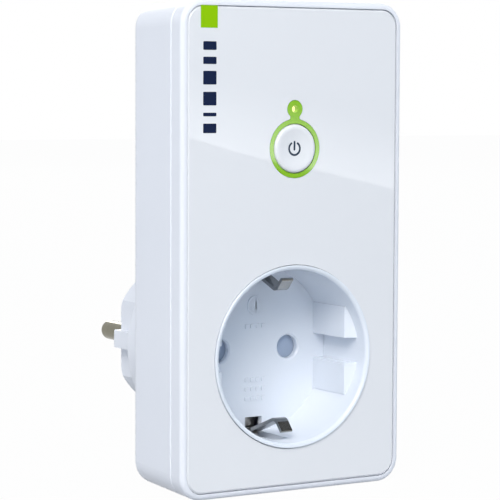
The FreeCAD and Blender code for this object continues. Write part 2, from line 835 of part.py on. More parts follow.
def plug_pin(side):
    """A solid turned pin: rounded tip, neck through the end wall, flange and shank behind it."""
    tip = plug_depth + pin_length
    profile = [(0, tip), (pin_radius, tip), (pin_radius, plug_depth), (pin_neck_radius, plug_depth),
               (pin_neck_radius, boss_cavity_floor),
               (pin_flange_radius, boss_cavity_floor),
               (pin_flange_radius, boss_cavity_floor - pin_flange_thickness),
               (pin_shank_radius, boss_cavity_floor - pin_flange_thickness),
               (pin_shank_radius, boss_cavity_floor - pin_flange_thickness - pin_shank_length),
               (0, boss_cavity_floor - pin_flange_thickness - pin_shank_length)]
    pin = turned(profile)
    pin = round_edges(pin, pin_tip_radius, at_depth(tip))
    pin.translate(Vector(side * pin_x, 0, 0))
    return pin


def pin_retainer():
    """The plate inside the plug body that clamps both pins' flanges to the end wall."""
    end = boss_cavity_floor - pin_flange_thickness
    start = end - retainer_thickness
    plate = cylinder(boss_radius - boss_wall - retainer_gap, start, end)
    half_x = boss_flat - boss_wall - retainer_gap
    half_z = groove_floor - boss_wall / 2 - retainer_gap
    plate = plate.common(block(-half_x, half_x, start, end, -half_z, half_z))
    cuts = [cylinder(pin_shank_radius + pin_hole_gap, start - overshoot, end + overshoot, side * pin_x, 0)
            for side in (-1, 1)]
    cuts.append(cylinder(carrier_screw_radius + screw_pass_gap, start - overshoot, end + overshoot))
    return plate.cut(cuts)


def earth_clip(side):
    """One sprung earth clip: root behind the floor, slope to the crest, tip bent back to the wall."""
    root_depth = carrier_front - bridge_thickness / 2
    points = [(root_depth, clip_root_offset), (clip_knee_depth, clip_knee_offset),
              (clip_crest_depth, clip_crest_offset), (clip_tip_depth, clip_tip_offset)]
    return strip([(d, side * z) for d, z in points], clip_thickness, clip_width / 2, clip_bend_radius)


def earth_bridge():
    """The flat strip behind the cup that joins both clips and both straps."""
    half = bridge_half_width
    plate = block(-half, half, bridge_front, carrier_front, -bridge_end, bridge_end)
    return plate.cut(cylinder(bridge_hole_radius, bridge_front - overshoot, carrier_front + overshoot))


def earth_strap(side):
    """The earth strap from the bridge through the collar to the side of the plug body."""
    start = carrier_front + strap_thickness / 2
    end = plug_depth - strap_end_inset
    groove_start = housing_depth + collar_length
    middle = (groove_start + end) / 2
    bowed = strap_offset + strap_bow
    points = [(start, strap_offset), (groove_start, strap_offset),
              (middle, bowed), (end, strap_offset)]
    return strip([(d, side * z) for d, z in points], strap_thickness, strap_half_width,
                 strap_bend_radius)


def neutral_link():
    """The stepped strip that joins the right pin's shank to the right contact sleeve."""
    half = strap_thickness / 2
    flange_end = carrier_back + sleeve_flange_thickness
    tail_end = flange_end + sleeve_tail
    shank_start = boss_cavity_floor - pin_flange_thickness - pin_shank_length
    step = link_step_share * (shank_start - tail_end)
    points = [(flange_end + strap_thickness, sleeve_radius + half),
              (tail_end + step, sleeve_radius + half),
              (shank_start - step, pin_shank_radius + half),
              (shank_start + link_lap, pin_shank_radius + half)]
    return strip(points, strap_thickness, pin_shank_radius, link_bend_radius, pin_x)


def button_cap():
    """The round button: domed edge, flange behind the plate and a stem to the switch."""
    z = button_above_socket
    flange_start = plate_back + button_stop_gap
    flange_end = flange_start + button_flange_thickness
    cap = cylinder(button_radius, -button_proud, flange_start, 0, z)
    cap = round_edges(cap, button_edge_radius, at_depth(-button_proud))
    stem_end = plunger_tip - (button_travel - plunger_travel) - plunger_gap
    return cap.fuse([cylinder(button_flange_radius, flange_start, flange_end, 0, z),
                     cylinder(button_stem_radius, flange_end, stem_end, 0, z)])


def button_spring():
    """The coil about the switch that returns the button."""
    start = plate_back + button_stop_gap + button_flange_thickness
    spring = coil(button_spring_radius, button_spring_wire, button_spring_turns, start, board_depth)
    spring.translate(Vector(0, 0, button_above_socket))
    return spring


def led():
    """A round lamp on two legs, its dome just behind the window in the ring."""
    tip = panel_thickness + led_behind_ring
    end = tip + led_length
    body = cylinder(led_radius, tip, end, 0, lamp_z)
    body = round_edges(body, led_dome_radius, at_depth(tip))
    flange = cylinder(led_flange_radius, end, end + led_flange_thickness, 0, lamp_z)
    half = led_leg_width / 2
    legs = [block(s * led_leg_spacing - half, s * led_leg_spacing + half, end + led_flange_thickness,
                  board_depth, lamp_z - half, lamp_z + half) for s in (-1, 1)]
    return body.fuse([flange] + legs)


def circuit_board():
    """The board behind the front plate, drilled for its two screws."""
    board = block(-board_width / 2, board_width / 2, board_depth, board_back, board_bottom, board_top)
    hole = board_screw_radius + screw_pass_gap
    return board.cut([cylinder(hole, board_depth - overshoot, board_back + overshoot, x, z)
                      for x, z in board_screw_places()])


def tact_switch():
    """The small push switch under the button."""
    half = tact_size / 2
    z = button_above_socket
    top = board_depth - tact_height
    body = block(-half, half, top, board_depth, z - half, z + half)
    return body.cut(cylinder(plunger_radius + plunger_gap, top - overshoot,
                             board_depth - plunger_well_floor, 0, z))


def tact_plunger():
    """The plunger of the push switch."""
    bottom = board_depth - plunger_well_floor - plunger_travel - plunger_gap
    return cylinder(plunger_radius, plunger_tip, bottom, 0, button_above_socket)


def heat_sink():
    """A channel of bent aluminium that lies on the board under the triac."""
    half = heat_sink_width / 2
    z0 = heat_sink_z - heat_sink_length / 2
    z1 = heat_sink_z + heat_sink_length / 2
    left = heat_sink_x - half
    right = heat_sink_x + half
    channel = block(left, right, board_back, board_back + heat_sink_height, z0, z1)
    inside = block(left + heat_sink_wall, right - heat_sink_wall, board_back + heat_sink_wall,
                   board_back + heat_sink_height + overshoot, z0 - overshoot, z1 + overshoot)
    hole = cylinder(triac_screw_radius + screw_hole_gap, board_back - overshoot,
                    board_back + heat_sink_wall + overshoot, heat_sink_x, triac_hole_z())
    return channel.cut([inside, hole])


def triac_hole_z():
    """The height of the triac's tab hole."""
    return heat_sink_z + heat_sink_length / 2 - triac_tab_length / 2


def triac():
    """The power switch: tab, moulded body and three bent legs."""
    base = board_back + heat_sink_wall
    top = heat_sink_z + heat_sink_length / 2
    tab_end = top - triac_tab_length
    body_end = tab_end - triac_body_length
    half = triac_width / 2
    tab = block(heat_sink_x - half, heat_sink_x + half, base, base + triac_tab_thickness, tab_end, top)
    tab = tab.cut(cylinder(triac_hole_radius, base - overshoot, base + triac_body_thickness,
                           heat_sink_x, triac_hole_z()))
    body = block(heat_sink_x - half, heat_sink_x + half, base, base + triac_body_thickness,
                 body_end, tab_end)
    pieces = [body]
    leg_base = base + triac_body_thickness / 2
    foot = body_end - triac_leg_length
    for index in (-1, 0, 1):
        x0 = heat_sink_x + index * triac_leg_spacing - triac_leg_width / 2
        x1 = x0 + triac_leg_width
        pieces.append(block(x0, x1, leg_base, leg_base + triac_leg_thickness, foot, body_end))
        pieces.append(block(x0, x1, board_back, leg_base + triac_leg_thickness,
                            foot, foot + triac_leg_thickness))
    return tab.fuse(pieces).removeSplitter()


def choke_core():
    """The ring core of the interference choke."""
    start = board_back + choke_wire
    ring = cylinder(choke_outer_radius, start, start + choke_height, choke_x, choke_z)
    return ring.cut(cylinder(choke_inner_radius, start - overshoot, start + choke_height + overshoot,
                             choke_x, choke_z))


def choke_winding():
    """The turns of enamelled wire about the core, spread over most of it."""
    start = board_back
    gap = choke_wire_gap
    inner = choke_inner_radius - choke_wire
    outer = choke_outer_radius + choke_wire
    end = start + choke_height + 2 * choke_wire
    half = choke_wire / 2
    loop = block(inner, outer, start, end, -half, half)
    hole = block(choke_inner_radius - gap, choke_outer_radius + gap, start + choke_wire - gap,
                 end - choke_wire + gap, -half - overshoot, half + overshoot)
    loop = loop.cut(hole)
    turns = []
    for index in range(choke_turns):
        turn = loop.copy()
        angle = choke_arc * index / (choke_turns - 1)
        turn.rotate(Vector(0, 0, 0), Vector(0, 1, 0), angle)
        turn.translate(Vector(choke_x, 0, choke_z))
        turns.append(turn)
    return Part.makeCompound(turns)


def film_capacitor():
    """The boxed interference capacitor."""
    half_l = capacitor_length / 2
    half_w = capacitor_width / 2
    box = block(capacitor_x - half_l, capacitor_x + half_l, board_back, board_back + capacitor_height,
                capacitor_z - half_w, capacitor_z + half_w)
    upright = [e for e in box.Edges if e.BoundBox.YLength > capacitor_height / 2]
    return box.makeFillet(capacitor_edge_radius, upright)


def electrolytic_capacitor():
    """The round smoothing capacitor with its crimped groove."""
    start = board_back
    end = start + electrolytic_height
    groove = start + electrolytic_groove_height
    half = electrolytic_groove_width / 2
    profile = [(0, start), (electrolytic_radius, start), (electrolytic_radius, groove - half),
               (electrolytic_radius - electrolytic_groove_deep, groove),
               (electrolytic_radius, groove + half), (electrolytic_radius, end - electrolytic_edge),
               (electrolytic_radius - electrolytic_edge, end), (0, end)]
    return turned(profile, electrolytic_x, electrolytic_z)


def fuse_link():
    """The glass fuse with its end caps."""
    centre = Vector(fuse_x - fuse_length / 2, y_at(board_back + fuse_height), fuse_z)
    glass = Part.makeCylinder(fuse_glass_radius, fuse_length, centre, Vector(1, 0, 0))
    caps = [Part.makeCylinder(fuse_radius, fuse_cap_length, centre + Vector(x, 0, 0), Vector(1, 0, 0))
            for x in (0, fuse_length - fuse_cap_length)]
    return glass.fuse(caps)


def fuse_clips():
    """The two sprung clips that hold the fuse on the board."""
    clips = []
    middle = board_back + fuse_height
    outer = fuse_radius + fuse_clip_gap + fuse_clip_wall
    for end in (-1, 1):
        x = fuse_x + end * (fuse_length - fuse_cap_length) / 2
        half = fuse_cap_length / 2 - fuse_clip_wall
        clip = block(x - half, x + half, board_back, middle + fuse_radius / 2,
                     fuse_z - outer, fuse_z + outer)
        bed = Part.makeCylinder(fuse_radius + fuse_clip_gap, 2 * (half + overshoot),
                                Vector(x - half - overshoot, y_at(middle), fuse_z), Vector(1, 0, 0))
        room = block(x - half - overshoot, x + half + overshoot, middle, middle + fuse_radius,
                     fuse_z - fuse_radius - fuse_clip_gap, fuse_z + fuse_radius + fuse_clip_gap)
        clips.append(clip.cut([bed, room]))
    return Part.makeCompound(clips)


def varistor():
    """The disc that takes voltage surges, standing on two leads."""
    middle = board_back + varistor_stand + varistor_radius
    disc = Part.makeCylinder(varistor_radius, varistor_thickness,
                             Vector(varistor_x, y_at(middle), varistor_z - varistor_thickness / 2),
                             Vector(0, 0, 1))
    leads = [cylinder(lead_radius, board_back, middle, varistor_x + s * varistor_radius / 2, varistor_z)
             for s in (-1, 1)]
    return disc.fuse(leads)


def controller_chip():
    """The dimming controller with its row of legs on each side."""
    half_l = chip_length / 2
    half_w = chip_width / 2
    body = block(chip_x - half_l, chip_x + half_l, board_back + chip_stand, board_back + chip_height,
                 chip_z - half_w, chip_z + half_w)
    half = chip_leg_width / 2
    reach = half_w + chip_leg_width
    legs = []
    for index in range(chip_leg_count):
        x = chip_x + (index - (chip_leg_count - 1) / 2) * chip_leg_pitch
        legs.append(block(x - half, x + half, board_back, board_back + chip_leg_height,
                          chip_z - reach, chip_z + reach))
    return body.fuse(legs)


def resistors():
    """Flat resistors soldered in a block on the board."""
    row = []
    half_l = resistor_length / 2
    half_w = resistor_width / 2
    for column in range(resistor_columns):
        for line in range(resistor_lines):
            x = resistor_x + column * resistor_pitch_x
            z = resistor_z + line * resistor_pitch_z
            row.append(block(x - half_l, x + half_l, board_back, board_back + resistor_height,
                             z - half_w, z + half_w))
    return Part.makeCompound(row)


def case_screws():
    """The four screws that close the housing from behind."""
    seat = case_joint_depth + case_web
    return Part.makeCompound([screw(x, z, seat, case_screw_head, case_screw_head_radius,
                                    case_screw_radius, seat - case_screw_length)
                              for x, z in case_screw_places()])


def board_screws():
    """The two screws that hold the board on its posts."""
    tip = board_back - board_screw_bite
    return Part.makeCompound([screw(x, z, board_back, board_screw_head, board_screw_head_radius,
                                    board_screw_radius, tip) for x, z in board_screw_places()])


def carrier_screws():
    """The two screws that hold the contact carrier behind the cup."""
    seat = carrier_front + carrier_ear_thickness
    tip = carrier_front - carrier_screw_bite + screw_hole_gap
    return Part.makeCompound([screw(x, z, seat, carrier_screw_head, carrier_screw_head_radius,
                                    carrier_screw_radius, tip) for x, z in carrier_screw_places()])


def retainer_screw():
    """The screw that clamps the pin retainer, driven from the front."""
    seat = boss_cavity_floor - pin_flange_thickness - retainer_thickness
    tip = boss_cavity_floor + retainer_screw_bite - screw_hole_gap
    driven = screw(0, 0, 0, carrier_screw_head, carrier_screw_head_radius, carrier_screw_radius, seat - tip)
    driven.translate(Vector(0, -front_y, 0))
    driven.rotate(Vector(0, 0, 0), Vector(0, 0, 1), 180)
    driven.translate(Vector(0, y_at(seat), 0))
    return driven


def triac_screw():
    """The screw that clamps the triac's tab to the heat sink."""
    seat = board_back + heat_sink_wall + triac_tab_thickness
    return screw(heat_sink_x, triac_hole_z(), seat, board_screw_head, triac_screw_head_radius,
                 triac_screw_radius, board_back)


def climb(x):
    """The shared end of a wire's route: forward to the cup's back, up behind it, and to the board."""
    return [(x, wire_behind_cup, wire_rise), (x, wire_behind_cup, wire_board_z),
            (x, board_back, wire_board_z)]


def live_wire():
    """From the left pin's shank to the board."""
    shank_middle = boss_cavity_floor - pin_flange_thickness - pin_shank_length + wire_lap
    route = [(-pin_x, shank_middle, pin_shank_radius), (-pin_x, shank_middle, wire_inner_rise)]
    return wire_along(route + climb(-pin_x))


def load_wire():
    """From the board to the left contact sleeve, carrying the dimmed supply."""
    tail = carrier_back + sleeve_flange_thickness + wire_lap
    route = [(-pin_x, tail, sleeve_radius), (-pin_x, tail, wire_sleeve_rise)]
    return wire_along(route + climb(-wire_inner_x))


def neutral_wire():
    """From the neutral link to the board, feeding its supply."""
    tail = carrier_back + sleeve_flange_thickness + wire_lap
    route = [(pin_x, tail, sleeve_radius + strap_thickness), (pin_x, tail, wire_sleeve_rise)]
    return wire_along(route + climb(wire_inner_x))


PIECES = {
    "front_shell": front_shell,
    "rear_shell": rear_shell,
    "front_panel": front_panel,
    "accent_ring": accent_ring,
    "socket_insert": socket_insert,
    "button_cap": button_cap,
    "button_spring": button_spring,
    "led": led,
    "circuit_board": circuit_board,
    "tact_switch": tact_switch,
    "tact_plunger": tact_plunger,
    "heat_sink": heat_sink,
    "triac": triac,
    "triac_screw": triac_screw,
    "choke_core": choke_core,
    "choke_winding": choke_winding,
    "film_capacitor": film_capacitor,
    "electrolytic_capacitor": electrolytic_capacitor,
    "fuse_link": fuse_link,
    "fuse_clips": fuse_clips,
    "varistor": varistor,
    "controller_chip": controller_chip,
    "resistors": resistors,
    "plug_pin_left": lambda: plug_pin(-1),
    "plug_pin_right": lambda: plug_pin(1),
    "pin_retainer": pin_retainer,
    "retainer_screw": retainer_screw,
    "contact_carrier": contact_carrier,
    "carrier_screws": carrier_screws,
    "contact_sleeve_left": lambda: contact_sleeve(-1),
    "contact_sleeve_right": lambda: contact_sleeve(1),
    "neutral_link": neutral_link,
    "shutter": shutter,
    "shutter_spring": shutter_spring,
    "earth_clip_upper": lambda: earth_clip(1),
    "earth_clip_lower": lambda: earth_clip(-1),
    "earth_bridge": earth_bridge,
    "earth_strap_upper": lambda: earth_strap(1),
    "earth_strap_lower": lambda: earth_strap(-1),
    "case_screws": case_screws,
    "board_screws": board_screws,
    "live_wire": live_wire,
    "load_wire": load_wire,
    "neutral_wire": neutral_wire,
}

os.makedirs("parts", exist_ok=True)
for name, make in PIECES.items():
    piece = make()
    piece.exportStep("parts/" + name + ".step")
    print(name, "solids", len(piece.Solids), "volume", round(piece.Volume, 1), "valid", piece.isValid())
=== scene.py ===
"""Looks of a plug-in dimmer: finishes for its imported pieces, its marks, finer meshes, and a small studio.

Every length is in metres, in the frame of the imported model: the origin is the centre of the plug's end
face, +Y runs rearwards along the pins, +X is to the right as seen from the front, and +Z is up.
"""

import math

import bpy
import numpy as np
from bpy.props import FloatProperty, FloatVectorProperty, IntProperty, PointerProperty
from mathutils import Matrix, Vector
from mathutils.geometry import delaunay_2d_cdt


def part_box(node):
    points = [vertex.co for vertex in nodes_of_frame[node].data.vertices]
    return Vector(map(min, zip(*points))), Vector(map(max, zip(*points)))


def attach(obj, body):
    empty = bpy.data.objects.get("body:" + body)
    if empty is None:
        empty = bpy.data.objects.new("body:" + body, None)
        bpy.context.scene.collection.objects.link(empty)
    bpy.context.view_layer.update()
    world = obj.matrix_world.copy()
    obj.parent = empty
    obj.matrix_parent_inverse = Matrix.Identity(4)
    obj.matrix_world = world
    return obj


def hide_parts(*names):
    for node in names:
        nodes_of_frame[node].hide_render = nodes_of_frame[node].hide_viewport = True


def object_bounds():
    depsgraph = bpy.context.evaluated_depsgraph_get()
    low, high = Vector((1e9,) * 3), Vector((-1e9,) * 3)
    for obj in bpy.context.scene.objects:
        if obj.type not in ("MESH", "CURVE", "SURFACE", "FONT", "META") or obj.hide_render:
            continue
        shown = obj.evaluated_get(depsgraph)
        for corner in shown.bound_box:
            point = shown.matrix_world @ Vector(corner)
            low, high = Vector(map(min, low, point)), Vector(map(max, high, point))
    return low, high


bl_info = {
    "name": "Plug-in dimmer looks",
    "version": (1, 0, 0),
    "blender": (4, 5, 0),
    "location": "3D View > Sidebar > Dimmer",
    "description": "Dresses the packed plug-in dimmer and sets its studio",
    "category": "Object",
}

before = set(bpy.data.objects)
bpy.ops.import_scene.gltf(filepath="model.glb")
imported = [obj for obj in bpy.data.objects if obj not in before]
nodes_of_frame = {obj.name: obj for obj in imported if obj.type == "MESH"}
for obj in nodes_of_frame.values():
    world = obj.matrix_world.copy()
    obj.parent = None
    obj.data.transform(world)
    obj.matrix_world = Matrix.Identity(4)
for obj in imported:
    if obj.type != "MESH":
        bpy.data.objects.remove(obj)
cad_low, cad_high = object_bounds()

MM = 0.001


def middle(low, high):
    """The point halfway between two corners."""
    return (Vector(low) + Vector(high)) / 2


panel_low, panel_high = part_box("front_panel")
button_low, button_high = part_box("button_cap")
shutter_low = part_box("shutter")[0]

# The face of the glossy plate, the middle of the button, and the socket's floor ahead of its shutter
panel_face = panel_low.y
button_centre = middle(button_low, button_high)
socket_floor = shutter_low.y - 1.9 * MM


def colour_property(name, description, default):
    """A colour in linear RGB that a user can change."""
    return FloatVectorProperty(name=name, description=description, default=default, size=3,
                               min=0.0, max=1.0, subtype="COLOR")


def length_property(name, description, default):
    """A length in metres that a user can change."""
    return FloatProperty(name=name, description=description, default=default, subtype="DISTANCE",
                         unit="LENGTH", precision=5)


class DimmerColours(bpy.types.PropertyGroup):
    """The colours of the finishes that show."""
    housing: colour_property("Housing", "Satin moulding of both shells", (0.80, 0.82, 0.88))
    panel: colour_property("Panel", "Glossy front plate", (0.79, 0.80, 0.83))
    insert: colour_property("Insert", "Moulding of the socket cup", (0.80, 0.845, 0.92))
    ring: colour_property("Ring", "Glossy green of the ring about the button", (0.265, 0.565, 0.004))
    button: colour_property("Button", "Smooth moulding of the button", (0.82, 0.83, 0.86))
    # The shutter's bluish white is darkened well below the cup's: painted shade behind the pin holes
    shutter: colour_property("Shutter", "Moulding behind the pin holes", (0.40, 0.48, 0.62))
    navy: colour_property("Navy ink", "Printed bars", (0.007, 0.016, 0.060))
    slate: colour_property("Slate ink", "The button's power symbol", (0.030, 0.050, 0.085))
    green_ink: colour_property("Green ink", "Printed square", (0.280, 0.565, 0.003))
    nickel: colour_property("Nickel", "Plated pins", (0.235, 0.225, 0.175))
    steel: colour_property("Steel", "Earth clips", (0.36, 0.36, 0.35))
    lens: colour_property("Lens", "Tinted lens of the lamp", (0.86, 0.78, 0.26))


class DimmerMarks(bpy.types.PropertyGroup):
    """Sizes of what is printed or raised on the surfaces."""
    ink_thickness: length_property("Ink thickness", "Height of the print above its face", 0.02 * MM)
    square_left: length_property("Square left", "Left side of the green square, in X", -24.75 * MM)
    square_width: length_property("Square width", "Width of the green square", 4.35 * MM)
    square_height: length_property("Square height", "Height of the green square", 4.95 * MM)
    square_inset: length_property("Square inset", "From the panel's top to the square's top", -0.1 * MM)
    bar_left: length_property("Bar left", "Left end of the printed bars, in X", -24.1 * MM)
    bar_length: length_property("Bar length", "Length of each printed bar", 3.4 * MM)
    symbol_radius: length_property("Symbol radius", "Middle radius of the power symbol", 1.45 * MM)
    symbol_line: length_property("Symbol line", "Line width of the power symbol", 0.46 * MM)
    emboss: length_property("Emboss", "Height of the raised marks on the socket's floor", 0.25 * MM)


class DimmerButton(bpy.types.PropertyGroup):
    """The button's finer shape."""
    dish: length_property("Dish", "How far the middle of the face lies below its rim", 0.45 * MM)
    rim_radius: length_property("Rim radius", "Radius of the dish about the button's middle", 4.35 * MM)
    segments: IntProperty(name="Segments", description="Steps round the turned cap", default=144, min=24)


class DimmerStudio(bpy.types.PropertyGroup):
    """Lamps, room and camera."""
    key_power: FloatProperty(name="Key power", description="Soft lamp from the upper left",
                             default=20.0, min=0.0, unit="POWER")
    side_power: FloatProperty(name="Side power", description="Soft lamp from the left", default=1.8,
                              min=0.0, unit="POWER")
    low_power: FloatProperty(name="Low power", description="Soft lamp low in front", default=1.3,
                             min=0.0, unit="POWER")
    rear_power: FloatProperty(name="Rear power", description="Soft lamp behind the object",
                              default=9.0, min=0.0, unit="POWER")
    edge_power: FloatProperty(name="Edge power", description="Soft lamp from the right", default=3.0,
                              min=0.0, unit="POWER")
    room_light: FloatProperty(name="Room light", description="Level of the light from all sides",
                              default=0.48, min=0.0)
    dark_side: FloatProperty(name="Dark side", description="How bright mirrors see the room in front",
                             default=0.15, min=0.0)
    card_light: FloatProperty(name="Card light", description="Brightness of the reflected card at its edge",
                              default=2.3, min=0.0)
    camera_place: FloatVectorProperty(name="Camera place", description="Where the camera stands",
                                      default=(-0.27144, -0.47144, 0.06103), size=3, subtype="XYZ",
                                      unit="LENGTH", precision=5)
    camera_heading: FloatProperty(name="Heading", description="Turn of the view from +Y towards +X",
                                  default=math.radians(31.83), subtype="ANGLE")
    camera_tilt: FloatProperty(name="Tilt", description="Rise of the view above level",
                               default=math.radians(-4.212), subtype="ANGLE")
    camera_roll: FloatProperty(name="Roll", description="Turn about the line of view",
                               default=math.radians(0.2267), subtype="ANGLE")
    focal_length: FloatProperty(name="Focal length", description="In millimetres, on a 36 mm sensor",
                                default=158.65, min=1.0)


def add_mesh(name, points, faces, material, smooth_angle=30.0):
    """A mesh object from an array of points and lists of corner numbers, smooth below an angle."""
    mesh = bpy.data.meshes.new(name)
    mesh.from_pydata(np.asarray(points, float).tolist(), [], [tuple(f) for f in faces])
    mesh.validate()
    mesh.polygons.foreach_set("use_smooth", np.ones(len(mesh.polygons), bool))
    mesh.set_sharp_from_angle(angle=math.radians(smooth_angle))
    mesh.materials.append(material)
    mesh.update()
    piece = bpy.data.objects.new(name, mesh)
    bpy.context.scene.collection.objects.link(piece)
    return piece


def ring_faces(count, start_a, start_b, closed=True):
    """Four-cornered faces between two rings of as many points, given by their first corner numbers."""
    here = np.arange(count if closed else count - 1)
    after = (here + 1) % count
    return np.stack([start_a + here, start_b + here, start_b + after, start_a + after], axis=1)


def turned_points(profile, centre, segments):
    """Points of a surface of revolution about the line along Y through a centre.

    The formula is x = cx + r cos(t), z = cz + r sin(t), y = y, for profile points (r, y) and t round a
    full turn.
    """
    turn = np.linspace(0.0, 2 * math.pi, segments, endpoint=False)
    radius = np.asarray([r for r, _ in profile])[:, None]
    depth = np.asarray([y for _, y in profile])[:, None]
    x = centre.x + radius * np.cos(turn)[None, :]
    z = centre.z + radius * np.sin(turn)[None, :]
    y = np.broadcast_to(depth, x.shape)
    return np.stack([x, y, z], axis=2).reshape(-1, 3)


def turned(profile, centre, segments):
    """Points and faces of a closed turned solid.

    Its profile runs from the axis in front to the axis behind. The rows between are rings, and a fan of
    triangles closes each end.
    """
    inner = profile[1:-1]
    points = turned_points(inner, centre, segments)
    front = np.array([[centre.x, profile[0][1], centre.z]])
    back = np.array([[centre.x, profile[-1][1], centre.z]])
    points = np.concatenate([points, front, back])
    front_tip = len(points) - 2
    back_tip = len(points) - 1
    faces = []
    for row in range(len(inner) - 1):
        faces += ring_faces(segments, row * segments, (row + 1) * segments).tolist()
    here = np.arange(segments)
    after = (here + 1) % segments
    last = (len(inner) - 1) * segments
    faces += np.stack([np.full(segments, front_tip), here, after], axis=1).tolist()
    faces += np.stack([np.full(segments, back_tip), last + after, last + here], axis=1).tolist()
    return points, faces


def arc_points(centre_r, centre_y, radius, start, end, steps):
    """Profile points (r, y) on an arc, its angles in degrees from +r towards +Y."""
    angles = np.radians(np.linspace(start, end, steps))
    return [(centre_r + radius * math.cos(a), centre_y + radius * math.sin(a)) for a in angles]


def circle(radius, x=0.0, z=0.0, steps=96, start=0.0, sweep=360.0):
    """Points (x, z) of a circle, or of an arc when the sweep is less than a turn."""
    whole = abs(sweep) >= 360.0
    angles = np.radians(start + np.linspace(0.0, sweep, steps, endpoint=not whole))
    return np.stack([x + radius * np.cos(angles), z + radius * np.sin(angles)], axis=1)


def rounded_box(x0, x1, z0, z1, radius, steps=8):
    """Points (x, z) of a rectangle with rounded corners, anticlockwise."""
    corners = ((x1 - radius, z1 - radius, 0), (x0 + radius, z1 - radius, 90),
               (x0 + radius, z0 + radius, 180), (x1 - radius, z0 + radius, 270))
    return np.concatenate([circle(radius, x, z, steps, start, 90.0) for x, z, start in corners])


def arc_band(radius, line, start, sweep, x, z, steps=48, cap_steps=8):
    """The outline (x, z) of a stroke of one width along an arc, with round ends."""
    half = line / 2
    outer = circle(radius + half, x, z, steps, start, sweep)
    inner = circle(radius - half, x, z, steps, start + sweep, -sweep)
    end = np.radians(start + sweep)
    begin = np.radians(start)
    cap_end = circle(half, x + radius * math.cos(end), z + radius * math.sin(end), cap_steps,
                     start + sweep, 180.0)
    cap_begin = circle(half, x + radius * math.cos(begin), z + radius * math.sin(begin), cap_steps,
                       start + 180.0, 180.0)
    return np.concatenate([outer, cap_end[1:-1], inner, cap_begin[1:-1]])


def flat_relief(loops, back, height_of, thickness):
    """A thin raised layer on a surface that faces -Y, from closed outlines in (x, z).

    The first loop is the outside and any others are holes. Its back follows y = back + height_of(x, z)
    and its front stands proud of that by the thickness.
    """
    flat = np.concatenate(loops)
    edges = []
    first = 0
    for loop in loops:
        count = len(loop)
        edges += [(first + i, first + (i + 1) % count) for i in range(count)]
        first += count
    coordinates = [Vector((x / MM, z / MM)) for x, z in flat]
    corners, _, triangles, _, _, _ = delaunay_2d_cdt(coordinates, edges, [], 2, 1e-6)
    plane = np.array([[c.x, c.y] for c in corners]) * MM
    lift = back + height_of(plane[:, 0], plane[:, 1])
    rear = np.stack([plane[:, 0], lift, plane[:, 1]], axis=1)
    face = rear - np.array([0.0, thickness, 0.0])
    count = len(corners)
    used = {}
    for a, b, c in triangles:
        for edge in ((a, b), (b, c), (c, a)):
            used[edge] = used.get(edge, 0) + 1
    rim = [(a, b) for a, b in used if (b, a) not in used]
    faces = [(a, b, c) for a, b, c in triangles]
    faces += [(c + count, b + count, a + count) for a, b, c in triangles]
    faces += [(b, a, a + count, b + count) for a, b in rim]
    return np.concatenate([face, rear]), faces


def flat_surface(x, z):
    """No rise: the surface is a plane."""
    return np.zeros_like(x)


def join_shapes(shapes):
    """Points and faces of several shapes as one."""
    points = []
    faces = []
    total = 0
    for some_points, some_faces in shapes:
        points.append(some_points)
        faces += [tuple(i + total for i in f) for f in some_faces]
        total += len(some_points)
    return np.concatenate(points), faces


def shader_group(name, inputs, outputs):
    """A new shader node group with its sockets, and its two end nodes."""
    group = bpy.data.node_groups.new(name, "ShaderNodeTree")
    for socket, kind, default in inputs:
        made = group.interface.new_socket(name=socket, in_out="INPUT", socket_type=kind)
        made.default_value = default
    for socket, kind in outputs:
        group.interface.new_socket(name=socket, in_out="OUTPUT", socket_type=kind)
    return group, group.nodes.new("NodeGroupInput"), group.nodes.new("NodeGroupOutput")


def noise(group, source, scale, detail):
    """A noise texture in a group that reads a vector socket and a scale socket."""
    texture = group.nodes.new("ShaderNodeTexNoise")
    texture.inputs["Detail"].default_value = detail
    group.links.new(source, texture.inputs["Vector"])
    group.links.new(scale, texture.inputs["Scale"])
    return texture.outputs["Fac"]


# Nearly all of a noise texture's values lie between these two
NOISE_LOW = 0.2
NOISE_HIGH = 0.8


def spread(group, source, low, high):
    """Maps a noise value to a range given by sockets."""
    node = group.nodes.new("ShaderNodeMapRange")
    node.interpolation_type = "SMOOTHSTEP"
    node.inputs["From Min"].default_value = NOISE_LOW
    node.inputs["From Max"].default_value = NOISE_HIGH
    group.links.new(source, node.inputs["Value"])
    group.links.new(low, node.inputs["To Min"])
    group.links.new(high, node.inputs["To Max"])
    return node.outputs["Result"]


def blend_colours(group, factor, first, second):
    """Mixes two colour sockets by a factor."""
    node = group.nodes.new("ShaderNodeMix")
    node.data_type = "RGBA"
    group.links.new(factor, node.inputs["Factor"])
    group.links.new(first, node.inputs["A"])
    group.links.new(second, node.inputs["B"])
    return node.outputs["Result"]


